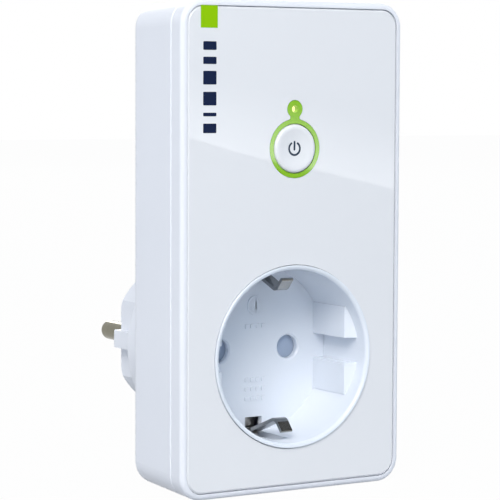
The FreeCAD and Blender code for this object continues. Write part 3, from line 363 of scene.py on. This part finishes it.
def make_surface_group():
    """The shared finish: soft colour flow, fine grain and uneven gloss, stretched along any axis."""
    group, entry, end = shader_group(
        "uneven_finish",
        [("Base", "NodeSocketColor", (0.8, 0.8, 0.8, 1.0)),
         ("Shade", "NodeSocketColor", (0.7, 0.7, 0.7, 1.0)),
         ("Flow Scale", "NodeSocketFloat", 30.0), ("Grain Scale", "NodeSocketFloat", 3000.0),
         ("Stretch", "NodeSocketVector", (1.0, 1.0, 1.0)),
         ("Gloss Low", "NodeSocketFloat", 0.3), ("Gloss High", "NodeSocketFloat", 0.4)],
        [("Color", "NodeSocketColor"), ("Roughness", "NodeSocketFloat"), ("Height", "NodeSocketFloat")])
    place = group.nodes.new("ShaderNodeTexCoord")
    stretch = group.nodes.new("ShaderNodeVectorMath")
    stretch.operation = "MULTIPLY"
    group.links.new(place.outputs["Object"], stretch.inputs[0])
    group.links.new(entry.outputs["Stretch"], stretch.inputs[1])
    stretched = stretch.outputs["Vector"]
    flow = noise(group, stretched, entry.outputs["Flow Scale"], 1.0)
    grain = noise(group, stretched, entry.outputs["Grain Scale"], 2.0)
    gloss = noise(group, place.outputs["Object"], entry.outputs["Flow Scale"], 1.0)
    colour = blend_colours(group, flow, entry.outputs["Base"], entry.outputs["Shade"])
    group.links.new(colour, end.inputs["Color"])
    group.links.new(spread(group, gloss, entry.outputs["Gloss Low"], entry.outputs["Gloss High"]),
                    end.inputs["Roughness"])
    group.links.new(grain, end.inputs["Height"])
    return group


# The finishes made so far, by name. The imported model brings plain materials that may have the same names
finishes = {}

GRAIN_HEIGHT = 0.02 * MM
COAT_ROUGHNESS = 0.04


def surface_material(name, base, shade, flow, grain, gloss, bump, stretch=(1.0, 1.0, 1.0), metallic=0.0,
                     coat=0.0, coat_ior=1.5, ior=1.5):
    """A material on the shared finish. The shade is the darker tone's share of the base colour."""
    if name in finishes:
        return finishes[name]
    group = bpy.data.node_groups.get("uneven_finish") or make_surface_group()
    material = bpy.data.materials.new(name)
    finishes[name] = material
    material.use_nodes = True
    tree = material.node_tree
    shader = tree.nodes["Principled BSDF"]
    finish = tree.nodes.new("ShaderNodeGroup")
    finish.node_tree = group
    finish.inputs["Base"].default_value = (*base, 1.0)
    finish.inputs["Shade"].default_value = (*(c * shade for c in base), 1.0)
    finish.inputs["Flow Scale"].default_value = flow
    finish.inputs["Grain Scale"].default_value = grain
    finish.inputs["Stretch"].default_value = stretch
    finish.inputs["Gloss Low"].default_value = gloss[0]
    finish.inputs["Gloss High"].default_value = gloss[1]
    relief = tree.nodes.new("ShaderNodeBump")
    relief.inputs["Strength"].default_value = bump
    relief.inputs["Distance"].default_value = GRAIN_HEIGHT
    tree.links.new(finish.outputs["Color"], shader.inputs["Base Color"])
    tree.links.new(finish.outputs["Roughness"], shader.inputs["Roughness"])
    tree.links.new(finish.outputs["Height"], relief.inputs["Height"])
    tree.links.new(relief.outputs["Normal"], shader.inputs["Normal"])
    shader.inputs["Metallic"].default_value = metallic
    shader.inputs["IOR"].default_value = ior
    shader.inputs["Coat Weight"].default_value = coat
    shader.inputs["Coat Roughness"].default_value = COAT_ROUGHNESS
    shader.inputs["Coat IOR"].default_value = coat_ior
    return material


def chosen():
    """The colours as the user has set them."""
    return bpy.context.scene.dimmer_colours


def satin_white():
    """Fine satin moulding of the two shells."""
    return surface_material("satin_white", chosen().housing, shade=0.97, flow=25.0,
                            grain=6000.0, gloss=(0.33, 0.40), bump=0.10)


def glossy_white():
    """High-gloss white plate."""
    return surface_material("glossy_white", chosen().panel, shade=0.985, flow=14.0,
                            grain=900.0, gloss=(0.010, 0.025), bump=0.004)


def insert_white():
    """Polished bluish white of the socket cup."""
    return surface_material("insert_white", chosen().insert, shade=0.96, flow=30.0,
                            grain=4000.0, gloss=(0.14, 0.20), bump=0.05)


# Painted shade: the shutter's colour is set darker than its white moulding, for the dim space behind the
# pin holes
def shutter_white():
    """Bluish white moulding of the shutter, its colour darkened to about half the cup's as painted shade
    for the dim space behind the pin holes.
    """
    return surface_material("shutter_white", chosen().shutter, shade=0.95, flow=80.0,
                            grain=5000.0, gloss=(0.33, 0.40), bump=0.05)


def button_white():
    """Smooth white of the button."""
    return surface_material("button_white", chosen().button, shade=0.98, flow=60.0,
                            grain=5000.0, gloss=(0.14, 0.20), bump=0.04)


def glossy_green():
    """Clear-coated green of the ring."""
    return surface_material("glossy_green", chosen().ring, shade=0.93, flow=120.0,
                            grain=3000.0, gloss=(0.05, 0.10), bump=0.01, coat=1.0, coat_ior=2.1, ior=1.2)


def navy_ink():
    """Printed dark blue."""
    return surface_material("navy_ink", chosen().navy, shade=0.85, flow=400.0,
                            grain=9000.0, gloss=(0.30, 0.42), bump=0.05, ior=1.3)


def slate_ink():
    """Printed slate grey of the power symbol."""
    return surface_material("slate_ink", chosen().slate, shade=0.85, flow=400.0,
                            grain=9000.0, gloss=(0.30, 0.42), bump=0.05, ior=1.3)


def green_ink():
    """Printed green."""
    return surface_material("green_ink", chosen().green_ink, shade=0.93, flow=300.0,
                            grain=9000.0, gloss=(0.12, 0.2), bump=0.03, ior=1.2)


def nickel():
    """Turned and nickel-plated pins, with fine lines round them."""
    return surface_material("nickel", chosen().nickel, shade=0.82, metallic=1.0,
                            flow=90.0, grain=2500.0, stretch=(0.15, 6.0, 0.15), gloss=(0.13, 0.20),
                            bump=0.05)


def spring_steel():
    """Rolled and bent strip of the earth clips, with lines along its length."""
    return surface_material("spring_steel", chosen().steel, shade=0.78, metallic=1.0,
                            flow=150.0, grain=1800.0, stretch=(5.0, 0.3, 0.3), gloss=(0.10, 0.20),
                            bump=0.06)


# The materials of pieces inside the closed housing: name, linear colour, metal share, gloss, coat
INNER_FINISHES = {
    "tin_strip": ((0.60, 0.60, 0.58), 1.0, (0.25, 0.38), 0.0),
    "zinc_steel": ((0.52, 0.53, 0.56), 1.0, (0.28, 0.40), 0.0),
    "mill_aluminium": ((0.68, 0.69, 0.71), 1.0, (0.30, 0.45), 0.0),
    "coil_steel": ((0.42, 0.43, 0.45), 1.0, (0.18, 0.28), 0.0),
    "resin_board": ((0.30, 0.17, 0.06), 0.0, (0.45, 0.60), 0.0),
    "black_resin": ((0.020, 0.020, 0.022), 0.0, (0.40, 0.55), 0.0),
    "iron_powder": ((0.60, 0.48, 0.08), 0.0, (0.35, 0.50), 0.2),
    "enamelled_copper": ((0.48, 0.13, 0.05), 1.0, (0.18, 0.28), 0.5),
    "yellow_case": ((0.72, 0.50, 0.06), 0.0, (0.30, 0.42), 0.0),
    "blue_lacquer": ((0.03, 0.11, 0.36), 0.0, (0.22, 0.34), 0.3),
    "beige_lacquer": ((0.50, 0.38, 0.22), 0.0, (0.30, 0.45), 0.2),
    "cream_insulator": ((0.66, 0.63, 0.55), 0.0, (0.35, 0.48), 0.0),
    "brown_insulation": ((0.10, 0.04, 0.015), 0.0, (0.42, 0.55), 0.0),
    "black_insulation": ((0.018, 0.018, 0.018), 0.0, (0.42, 0.55), 0.0),
    "blue_insulation": ((0.03, 0.09, 0.36), 0.0, (0.42, 0.55), 0.0),
}


def inner_material(name):
    """One of the finishes inside the housing."""
    base, metallic, gloss, coat = INNER_FINISHES[name]
    return surface_material(name, base, shade=0.86, metallic=metallic, flow=180.0, grain=2500.0,
                            gloss=gloss, bump=0.12, coat=coat)


def lens_tint():
    """Tinted lens of the lamp, with the pale chip glowing through."""
    material = surface_material("lens_tint", chosen().lens, shade=0.9, flow=200.0,
                                grain=2000.0, gloss=(0.03, 0.08), bump=0.01, coat=1.0)
    shader = material.node_tree.nodes["Principled BSDF"]
    shader.inputs["Emission Color"].default_value = (0.93, 0.90, 0.45, 1.0)
    shader.inputs["Emission Strength"].default_value = 1.0
    return material


def clear_glass():
    """Clear tube of the fuse."""
    material = surface_material("clear_glass", (0.92, 0.95, 0.94), shade=0.98, flow=50.0, grain=1000.0,
                                gloss=(0.0, 0.03), bump=0.0)
    material.node_tree.nodes["Principled BSDF"].inputs["Transmission Weight"].default_value = 0.9
    return material


def dress(node, material):
    """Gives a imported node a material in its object's own slots."""
    piece = nodes_of_frame[node]
    if not piece.material_slots:
        piece.data.materials.append(material)
    for slot in piece.material_slots:
        slot.material = material


def dress_all(names, material):
    """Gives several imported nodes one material."""
    for name in names:
        dress(name, material)


class DIMMER_OT_housing(bpy.types.Operator):
    """Finish of the two moulded shells."""
    bl_idname = "dimmer.housing"
    bl_label = "Housing shells"

    def execute(self, context):
        """Dresses both shells in satin white."""
        dress_all(("front_shell", "rear_shell"), satin_white())
        return {"FINISHED"}


class DIMMER_OT_panel(bpy.types.Operator):
    """Finish of the glossy front plate and the green ring."""
    bl_idname = "dimmer.panel"
    bl_label = "Front panel and ring"

    def execute(self, context):
        """Dresses the plate and the ring."""
        dress("front_panel", glossy_white())
        dress("accent_ring", glossy_green())
        return {"FINISHED"}


# Top and bottom of each printed bar, in millimetres above the socket's middle
BAR_SPANS = ((71.2, 69.3), (67.8, 66.2), (64.7, 61.7), (60.1, 57.1), (55.5, 54.7), (53.1, 51.0))
BAR_CORNER = 0.2 * MM
SQUARE_CORNER = 0.05 * MM


class DIMMER_OT_marks(bpy.types.Operator):
    """The printed green square and the six plain bars below it."""
    bl_idname = "dimmer.marks"
    bl_label = "Printed marks"

    def execute(self, context):
        """Prints the square and the bars on the plate."""
        marks = context.scene.dimmer_marks
        top = panel_high.z - marks.square_inset
        bottom = top - marks.square_height
        square = rounded_box(marks.square_left, marks.square_left + marks.square_width, bottom, top,
                             SQUARE_CORNER)
        shape = flat_relief([square], panel_face, flat_surface, marks.ink_thickness)
        piece = add_mesh("green_square", *shape, green_ink())
        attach(piece, "housing")

        shapes = []
        for high, low in BAR_SPANS:
            bar = rounded_box(marks.bar_left, marks.bar_left + marks.bar_length, low * MM, high * MM,
                              BAR_CORNER)
            shapes.append(flat_relief([bar], panel_face, flat_surface, marks.ink_thickness))
        bars = add_mesh("printed_bars", *join_shapes(shapes), navy_ink())
        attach(bars, "housing")
        return {"FINISHED"}


def button_surface(dish, rim):
    """Rise of the dished face: a sphere's cap, so the rise is dish times (1 - (r / rim) squared)."""
    def height(x, z):
        r = np.hypot(x - button_centre.x, z - button_centre.z)
        return dish * (1.0 - np.clip(r / rim, 0.0, 1.0) ** 2)
    return height


# The cap's turned form: depths from its front, radii about its axis
CAP_RADIUS = 5.5 * MM
EDGE_RADIUS = 0.75 * MM
FLANGE_DEPTH = 3.3 * MM
FLANGE_THICKNESS = 1.1 * MM
STUB_RADIUS = 1.6 * MM

# The power symbol: its shift to the left, the half angle of its gap, and the ends of its upright stroke
SYMBOL_SHIFT = 0.12 * MM
SYMBOL_GAP = 35.0
STROKE_FOOT = 0.45 * MM
STROKE_RISE = 0.3 * MM


class DIMMER_OT_button(bpy.types.Operator):
    """The button's cap with its dished face and rolled rim, and the printed power symbol."""
    bl_idname = "dimmer.button"
    bl_label = "Button"

    def execute(self, context):
        """Turns the cap and prints its symbol on the dished face."""
        button = context.scene.dimmer_button
        marks = context.scene.dimmer_marks
        flange_radius = (button_high.x - button_low.x) / 2
        top = button_low.y
        rim = button.rim_radius
        rise = button_surface(button.dish, rim)
        face_radii = np.linspace(0.0, rim, 14)
        profile = [(float(r), top + float(rise(button_centre.x + r, button_centre.z))) for r in face_radii]
        crest = CAP_RADIUS - EDGE_RADIUS
        profile += [((rim + crest) / 2, top)]
        profile += arc_points(crest, top + EDGE_RADIUS, EDGE_RADIUS, -90.0, 0.0, 12)
        flange_front = top + FLANGE_DEPTH
        flange_back = flange_front + FLANGE_THICKNESS
        profile += [(CAP_RADIUS, flange_front), (flange_radius, flange_front), (flange_radius, flange_back),
                    (STUB_RADIUS, flange_back), (STUB_RADIUS, button_high.y), (0.0, button_high.y)]
        shape = turned(profile, button_centre, button.segments)
        cap = add_mesh("button_cap_dished", *shape, button_white())
        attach(cap, "button")
        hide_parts("button_cap")

        x = button_centre.x - SYMBOL_SHIFT
        z = button_centre.z
        half = marks.symbol_line / 2
        ring = arc_band(marks.symbol_radius, marks.symbol_line, 90.0 + SYMBOL_GAP,
                        360.0 - 2 * SYMBOL_GAP, x, z)
        stroke = rounded_box(x - half, x + half, z - STROKE_FOOT, z + marks.symbol_radius + STROKE_RISE,
                             half * 0.98)
        shapes = [flat_relief([outline], top, rise, marks.ink_thickness) for outline in (ring, stroke)]
        symbol = add_mesh("power_symbol", *join_shapes(shapes), slate_ink())
        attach(symbol, "button")
        return {"FINISHED"}


# The plain marks on the socket's floor: a dial with a hand and a ring of dots, and rows of dashes
DIAL_X = 0.5 * MM
DIAL_Z = 10.2 * MM
DIAL_OUTER = 2.3 * MM
DIAL_INNER = 1.95 * MM
HAND_HALF_WIDTH = 0.15 * MM
HAND_FOOT = 0.9 * MM
HAND_TIP = 1.1 * MM
HAND_CORNER = 0.1 * MM
DOT_COUNT = 12
DOT_RADIUS = 0.14 * MM
DOT_RING = 1.55 * MM
DASH_ROWS = (5.4 * MM, -7.2 * MM, -9.4 * MM, -11.6 * MM)
DASH_COUNT = 4
DASH_START = -2.4 * MM
DASH_STEP = 1.5 * MM
DASH_LENGTH = 1.1 * MM
DASH_HALF_WIDTH = 0.5 * MM
DASH_CORNER = 0.2 * MM


def floor_outlines():
    """The outlines (x, z) of each mark on the socket's floor."""
    dial = [circle(DIAL_OUTER, DIAL_X, DIAL_Z, 72), circle(DIAL_INNER, DIAL_X, DIAL_Z, 72)[::-1]]
    hand = rounded_box(DIAL_X - HAND_HALF_WIDTH, DIAL_X + HAND_HALF_WIDTH, DIAL_Z - HAND_FOOT,
                       DIAL_Z + HAND_TIP, HAND_CORNER)
    outlines = [dial, [hand]]
    for step in range(DOT_COUNT):
        angle = 2 * math.pi * step / DOT_COUNT
        outlines.append([circle(DOT_RADIUS, DIAL_X + DOT_RING * math.cos(angle),
                                DIAL_Z + DOT_RING * math.sin(angle), 16)])
    for level in DASH_ROWS:
        for step in range(DASH_COUNT):
            left = DASH_START + step * DASH_STEP
            outlines.append([rounded_box(left, left + DASH_LENGTH, level - DASH_HALF_WIDTH,
                                         level + DASH_HALF_WIDTH, DASH_CORNER)])
    return outlines


class DIMMER_OT_socket(bpy.types.Operator):
    """The socket cup, its shutter and the raised marks on its floor."""
    bl_idname = "dimmer.socket"
    bl_label = "Socket"

    def execute(self, context):
        """Dresses the cup and raises the plain marks on the floor."""
        dress("socket_insert", insert_white())
        dress("shutter", shutter_white())
        dress_all(("contact_carrier", "pin_retainer"), inner_material("cream_insulator"))
        emboss = context.scene.dimmer_marks.emboss
        shapes = [flat_relief(loops, socket_floor, flat_surface, emboss) for loops in floor_outlines()]
        raised = add_mesh("floor_marks", *join_shapes(shapes), insert_white())
        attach(raised, "housing")
        return {"FINISHED"}


class DIMMER_OT_earth(bpy.types.Operator):
    """Earth clips, bridge and straps."""
    bl_idname = "dimmer.earth"
    bl_label = "Earth parts"

    def execute(self, context):
        """Dresses the earth parts in bare metal."""
        dress_all(("earth_clip_upper", "earth_clip_lower"), spring_steel())
        dress_all(("earth_strap_upper", "earth_strap_lower"), nickel())
        dress("earth_bridge", inner_material("tin_strip"))
        return {"FINISHED"}


class DIMMER_OT_pins(bpy.types.Operator):
    """The two plug pins."""
    bl_idname = "dimmer.pins"
    bl_label = "Plug pins"

    def execute(self, context):
        """Dresses the pins in nickel."""
        dress_all(("plug_pin_left", "plug_pin_right"), nickel())
        return {"FINISHED"}


# The finish of each node inside the closed housing, and of the case screws
INNER_NODES = {
    "tin_strip": ("contact_sleeve_left", "contact_sleeve_right", "neutral_link", "fuse_clips"),
    "zinc_steel": ("case_screws", "board_screws", "carrier_screws", "retainer_screw", "triac_screw"),
    "mill_aluminium": ("heat_sink", "electrolytic_capacitor"),
    "coil_steel": ("button_spring", "shutter_spring"),
    "resin_board": ("circuit_board",),
    "black_resin": ("tact_switch", "tact_plunger", "triac", "controller_chip"),
    "iron_powder": ("choke_core",),
    "enamelled_copper": ("choke_winding",),
    "yellow_case": ("film_capacitor",),
    "blue_lacquer": ("varistor",),
    "beige_lacquer": ("resistors",),
    "brown_insulation": ("live_wire",),
    "black_insulation": ("load_wire",),
    "blue_insulation": ("neutral_wire",),
}


class DIMMER_OT_inner_parts(bpy.types.Operator):
    """Circuit board, its parts, wires, contacts and fasteners."""
    bl_idname = "dimmer.inner_parts"
    bl_label = "Inner parts"

    def execute(self, context):
        """Dresses each inner part."""
        for finish, names in INNER_NODES.items():
            dress_all(names, inner_material(finish))
        dress("led", lens_tint())
        dress("fuse_link", clear_glass())
        return {"FINISHED"}


def mixed_shader(tree, factor, first, second):
    """Mixes two shader sockets by a factor socket."""
    node = tree.nodes.new("ShaderNodeMixShader")
    tree.links.new(factor, node.inputs[0])
    tree.links.new(first, node.inputs[1])
    tree.links.new(second, node.inputs[2])
    return node.outputs[0]


def larger_value(tree, first, second):
    """The larger of two value sockets."""
    node = tree.nodes.new("ShaderNodeMath")
    node.operation = "MAXIMUM"
    tree.links.new(first, node.inputs[0])
    tree.links.new(second, node.inputs[1])
    return node.outputs[0]


def depth_fade(tree, coordinates, start, end, dark_side):
    """Rises from the dark side's level to 1 as the Y of the named coordinates goes from start to end."""
    place = tree.nodes.new("ShaderNodeTexCoord")
    axes = tree.nodes.new("ShaderNodeSeparateXYZ")
    tree.links.new(place.outputs[coordinates], axes.inputs["Vector"])
    fade = tree.nodes.new("ShaderNodeMapRange")
    fade.inputs["From Min"].default_value = start
    fade.inputs["From Max"].default_value = end
    fade.inputs["To Min"].default_value = dark_side
    tree.links.new(axes.outputs["Y"], fade.inputs["Value"])
    return fade.outputs["Result"]


WHITE = (1.0, 1.0, 1.0, 1.0)
STAGE_PAINT = (0.48, 0.49, 0.51, 1.0)
ROOM_COLOUR = (0.61, 0.79, 0.98, 1.0)

# Where the mirrored white fades, in metres along Y on the stage, and in the Y of a direction in the world
STAGE_FADE = (-0.5, 0.1)
ROOM_FADE = (-0.1, 0.5)


def stage_material(name, own_share, studio):
    """Plain pale paint to the lamps, and white to the camera and to mirrors, which see it dimmer in front.

    The camera also sees a share of the paint, which carries the object's shadow.
    """
    material = bpy.data.materials.new(name)
    material.use_nodes = True
    tree = material.node_tree
    tree.nodes.clear()
    path = tree.nodes.new("ShaderNodeLightPath")
    paint = tree.nodes.new("ShaderNodeBsdfDiffuse")
    paint.inputs["Color"].default_value = STAGE_PAINT
    white = tree.nodes.new("ShaderNodeEmission")
    white.inputs["Color"].default_value = WHITE
    to_mirrors = tree.nodes.new("ShaderNodeMapRange")
    to_mirrors.inputs["To Min"].default_value = 1.0
    tree.links.new(path.outputs["Is Glossy Ray"], to_mirrors.inputs["Value"])
    tree.links.new(depth_fade(tree, "Object", *STAGE_FADE, studio.dark_side), to_mirrors.inputs["To Max"])
    tree.links.new(to_mirrors.outputs["Result"], white.inputs["Strength"])
    seen = tree.nodes.new("ShaderNodeMath")
    seen.operation = "MULTIPLY"
    seen.inputs[1].default_value = 1.0 - own_share
    tree.links.new(path.outputs["Is Camera Ray"], seen.inputs[0])
    mirrored = larger_value(tree, path.outputs["Is Glossy Ray"], path.outputs["Is Transmission Ray"])
    either = larger_value(tree, seen.outputs[0], mirrored)
    end = tree.nodes.new("ShaderNodeOutputMaterial")
    shown = mixed_shader(tree, either, paint.outputs[0], white.outputs[0])
    tree.links.new(shown, end.inputs["Surface"])
    return material


def add_background(tree, colour, strength=1.0):
    """A background shader in the world's tree."""
    background = tree.nodes.new("ShaderNodeBackground")
    background.inputs["Color"].default_value = colour
    background.inputs["Strength"].default_value = strength
    return background


def add_room(studio):
    """The world: white to the camera, a soft bluish light on the object, and to mirrors dim in front."""
    world = bpy.data.worlds.new("soft_room")
    bpy.context.scene.world = world
    world.use_nodes = True
    tree = world.node_tree
    tree.nodes.clear()
    path = tree.nodes.new("ShaderNodeLightPath")
    light = add_background(tree, ROOM_COLOUR, studio.room_light)
    white = add_background(tree, WHITE)
    mirrored = add_background(tree, WHITE)
    tree.links.new(depth_fade(tree, "Generated", *ROOM_FADE, studio.dark_side), mirrored.inputs["Strength"])
    seen = larger_value(tree, path.outputs["Is Camera Ray"], path.outputs["Is Transmission Ray"])
    lit = mixed_shader(tree, seen, light.outputs[0], white.outputs[0])
    shown = mixed_shader(tree, path.outputs["Is Glossy Ray"], lit, mirrored.outputs[0])
    end = tree.nodes.new("ShaderNodeOutputWorld")
    tree.links.new(shown, end.inputs["Surface"])


# The lower edge of the card as the glossy plate mirrors it, in millimetres (x, z) on the plate
CARD_EDGE = ((-40.0, 53.4), (-26.95, 49.8), (-14.57, 46.53), (-7.72, 44.99), (4.38, 42.64),
             (10.97, 41.23), (25.0, 38.15), (40.0, 34.5))


# How far off the card hangs as a share of the camera's distance, its rise on the plate, and its fade
CARD_REACH = 1.1
CARD_RISE = 17.0 * MM
CARD_FADE_POWER = 1.2
CARD_LEVELS = 9


def add_card(studio):
    """A soft white card that only mirrors see, brightest along its lower edge.

    Each corner is P + t (P - C'), where P is where it mirrors on the plate, C' is the camera mirrored in
    the plate, and t sets how far off the card hangs.
    """
    seen_from = Vector(studio.camera_place)
    seen_from.y = 2 * panel_face - seen_from.y
    edge = np.array([[x * MM, panel_face, z * MM] for x, z in CARD_EDGE])
    levels = np.linspace(0.0, CARD_RISE, CARD_LEVELS)
    rows = [edge + np.array([0.0, 0.0, level]) for level in levels]
    seen = np.concatenate(rows)
    points = seen + CARD_REACH * (seen - np.array(seen_from))
    count = len(edge)
    faces = np.concatenate([ring_faces(count, row * count, (row + 1) * count, closed=False)
                            for row in range(CARD_LEVELS - 1)])
    material = bpy.data.materials.new("card_glow")
    material.use_nodes = True
    tree = material.node_tree
    tree.nodes.clear()
    fade = tree.nodes.new("ShaderNodeAttribute")
    fade.attribute_name = "fade"
    strength = tree.nodes.new("ShaderNodeMath")
    strength.operation = "MULTIPLY"
    strength.inputs[1].default_value = studio.card_light
    tree.links.new(fade.outputs["Fac"], strength.inputs[0])
    glow = tree.nodes.new("ShaderNodeEmission")
    tree.links.new(strength.outputs[0], glow.inputs["Strength"])
    end = tree.nodes.new("ShaderNodeOutputMaterial")
    tree.links.new(glow.outputs[0], end.inputs["Surface"])
    card = add_mesh("card", points, faces, material)
    values = card.data.attributes.new("fade", "FLOAT", "POINT")
    values.data.foreach_set("value", np.repeat((1.0 - levels / CARD_RISE) ** CARD_FADE_POWER, count))
    card.visible_camera = False
    card.visible_diffuse = False
    card.visible_shadow = False
    card.visible_transmission = False
    card.visible_volume_scatter = False
    return card


def add_lamp(name, place, target, size, power, colour):
    """A square soft lamp that looks at a target."""
    lamp = bpy.data.lights.new(name, "AREA")
    lamp.shape = "SQUARE"
    lamp.size = size
    lamp.energy = power
    lamp.color = colour
    holder = bpy.data.objects.new(name, lamp)
    holder.location = place
    holder.rotation_euler = (Vector(target) - Vector(place)).to_track_quat("-Z", "Y").to_euler()
    holder.visible_camera = False
    bpy.context.scene.collection.objects.link(holder)


def add_camera(studio):
    """The camera at the photograph's place, from its heading, tilt and roll."""
    heading = studio.camera_heading
    tilt = studio.camera_tilt
    forward = Vector((math.sin(heading) * math.cos(tilt), math.cos(heading) * math.cos(tilt),
                      math.sin(tilt)))
    level_right = Vector((math.cos(heading), -math.sin(heading), 0.0))
    level_up = level_right.cross(forward)
    right = level_right * math.cos(studio.camera_roll) + level_up * math.sin(studio.camera_roll)
    up = right.cross(forward)
    camera = bpy.data.cameras.new("camera")
    camera.sensor_width = 36.0
    camera.lens = studio.focal_length
    camera.clip_start = 0.01
    camera.clip_end = 50.0
    holder = bpy.data.objects.new("camera", camera)
    turn = Matrix((right, up, -forward)).transposed().to_4x4()
    holder.matrix_world = Matrix.Translation(Vector(studio.camera_place)) @ turn
    bpy.context.scene.collection.objects.link(holder)
    bpy.context.scene.camera = holder


# Each soft lamp: its name, place, width, the setting that holds its power, and its colour
LAMPS = (
    ("key_lamp", (-0.75, -0.95, 0.95), 0.8, "key_power", (1.0, 0.955, 0.90)),
    ("side_lamp", (-1.2, 0.1, 0.35), 0.8, "side_power", (0.97, 0.98, 1.0)),
    ("low_lamp", (-0.55, -1.15, 0.24), 0.5, "low_power", (0.86, 0.94, 1.0)),
    ("rear_lamp", (0.7, 1.7, 0.9), 0.8, "rear_power", (1.0, 0.97, 0.93)),
    ("edge_lamp", (1.1, -0.15, 0.45), 0.8, "edge_power", (1.0, 1.0, 1.0)),
)
LAMP_TARGET_Z = 0.02

# The stage's half width, which is also the backdrop's top, and the backdrop's distance behind the object
STAGE_REACH = 6.0
BACKDROP_Y = 3.0
FLOOR_OWN_SHARE = 0.02


class DIMMER_OT_stage(bpy.types.Operator):
    """Floor, backdrop, lamps, room and camera."""
    bl_idname = "dimmer.stage"
    bl_label = "Studio"

    def execute(self, context):
        """Builds the studio about the object."""
        studio = context.scene.dimmer_studio
        foot = cad_low.z
        left, right = -STAGE_REACH, STAGE_REACH
        floor = add_mesh("floor", [(left, left, foot), (right, left, foot), (right, right, foot),
                                   (left, right, foot)],
                         [(0, 1, 2, 3)], stage_material("floor_paint", FLOOR_OWN_SHARE, studio))
        backdrop = add_mesh("backdrop", [(left, BACKDROP_Y, foot), (right, BACKDROP_Y, foot),
                                         (right, BACKDROP_Y, STAGE_REACH), (left, BACKDROP_Y, STAGE_REACH)],
                            [(0, 1, 2, 3)], stage_material("backdrop_paint", 0.0, studio))
        add_card(studio)
        target = (0.0, panel_face, LAMP_TARGET_Z)
        for name, place, width, setting, colour in LAMPS:
            add_lamp(name, place, target, width, getattr(studio, setting), colour)
        add_room(studio)
        add_camera(studio)
        context.scene.view_settings.view_transform = "Standard"
        return {"FINISHED"}


class DIMMER_PT_pieces(bpy.types.Panel):
    """The list of pieces in the sidebar."""
    bl_label = "Plug-in dimmer"
    bl_idname = "DIMMER_PT_pieces"
    bl_space_type = "VIEW_3D"
    bl_region_type = "UI"
    bl_category = "Dimmer"

    def draw(self, context):
        """Draws a button for each piece, then the colours and sizes."""
        for operator in OPERATORS:
            self.layout.operator(operator.bl_idname)
        for group in (context.scene.dimmer_colours, context.scene.dimmer_marks, context.scene.dimmer_button,
                      context.scene.dimmer_studio):
            box = self.layout.box()
            for name in group.__annotations__:
                box.prop(group, name)


GROUPS = {"dimmer_colours": DimmerColours, "dimmer_marks": DimmerMarks, "dimmer_button": DimmerButton,
          "dimmer_studio": DimmerStudio}
OPERATORS = (DIMMER_OT_stage, DIMMER_OT_housing, DIMMER_OT_panel, DIMMER_OT_marks, DIMMER_OT_button,
             DIMMER_OT_socket, DIMMER_OT_earth, DIMMER_OT_pins, DIMMER_OT_inner_parts)


def register():
    """Registers every class and hangs the settings on the scene."""
    for group in GROUPS.values():
        bpy.utils.register_class(group)
    for name, group in GROUPS.items():
        setattr(bpy.types.Scene, name, PointerProperty(type=group))
    for operator in OPERATORS:
        bpy.utils.register_class(operator)
    bpy.utils.register_class(DIMMER_PT_pieces)


def unregister():
    """Takes away what register added."""
    bpy.utils.unregister_class(DIMMER_PT_pieces)
    for operator in reversed(OPERATORS):
        bpy.utils.unregister_class(operator)
    for name, group in reversed(GROUPS.items()):
        delattr(bpy.types.Scene, name)
        bpy.utils.unregister_class(group)


def main():
    """Builds everything in order."""
    register()
    for operator in OPERATORS:
        group, name = operator.bl_idname.split(".")
        getattr(getattr(bpy.ops, group), name)()


if __name__ == "__main__":
    main()
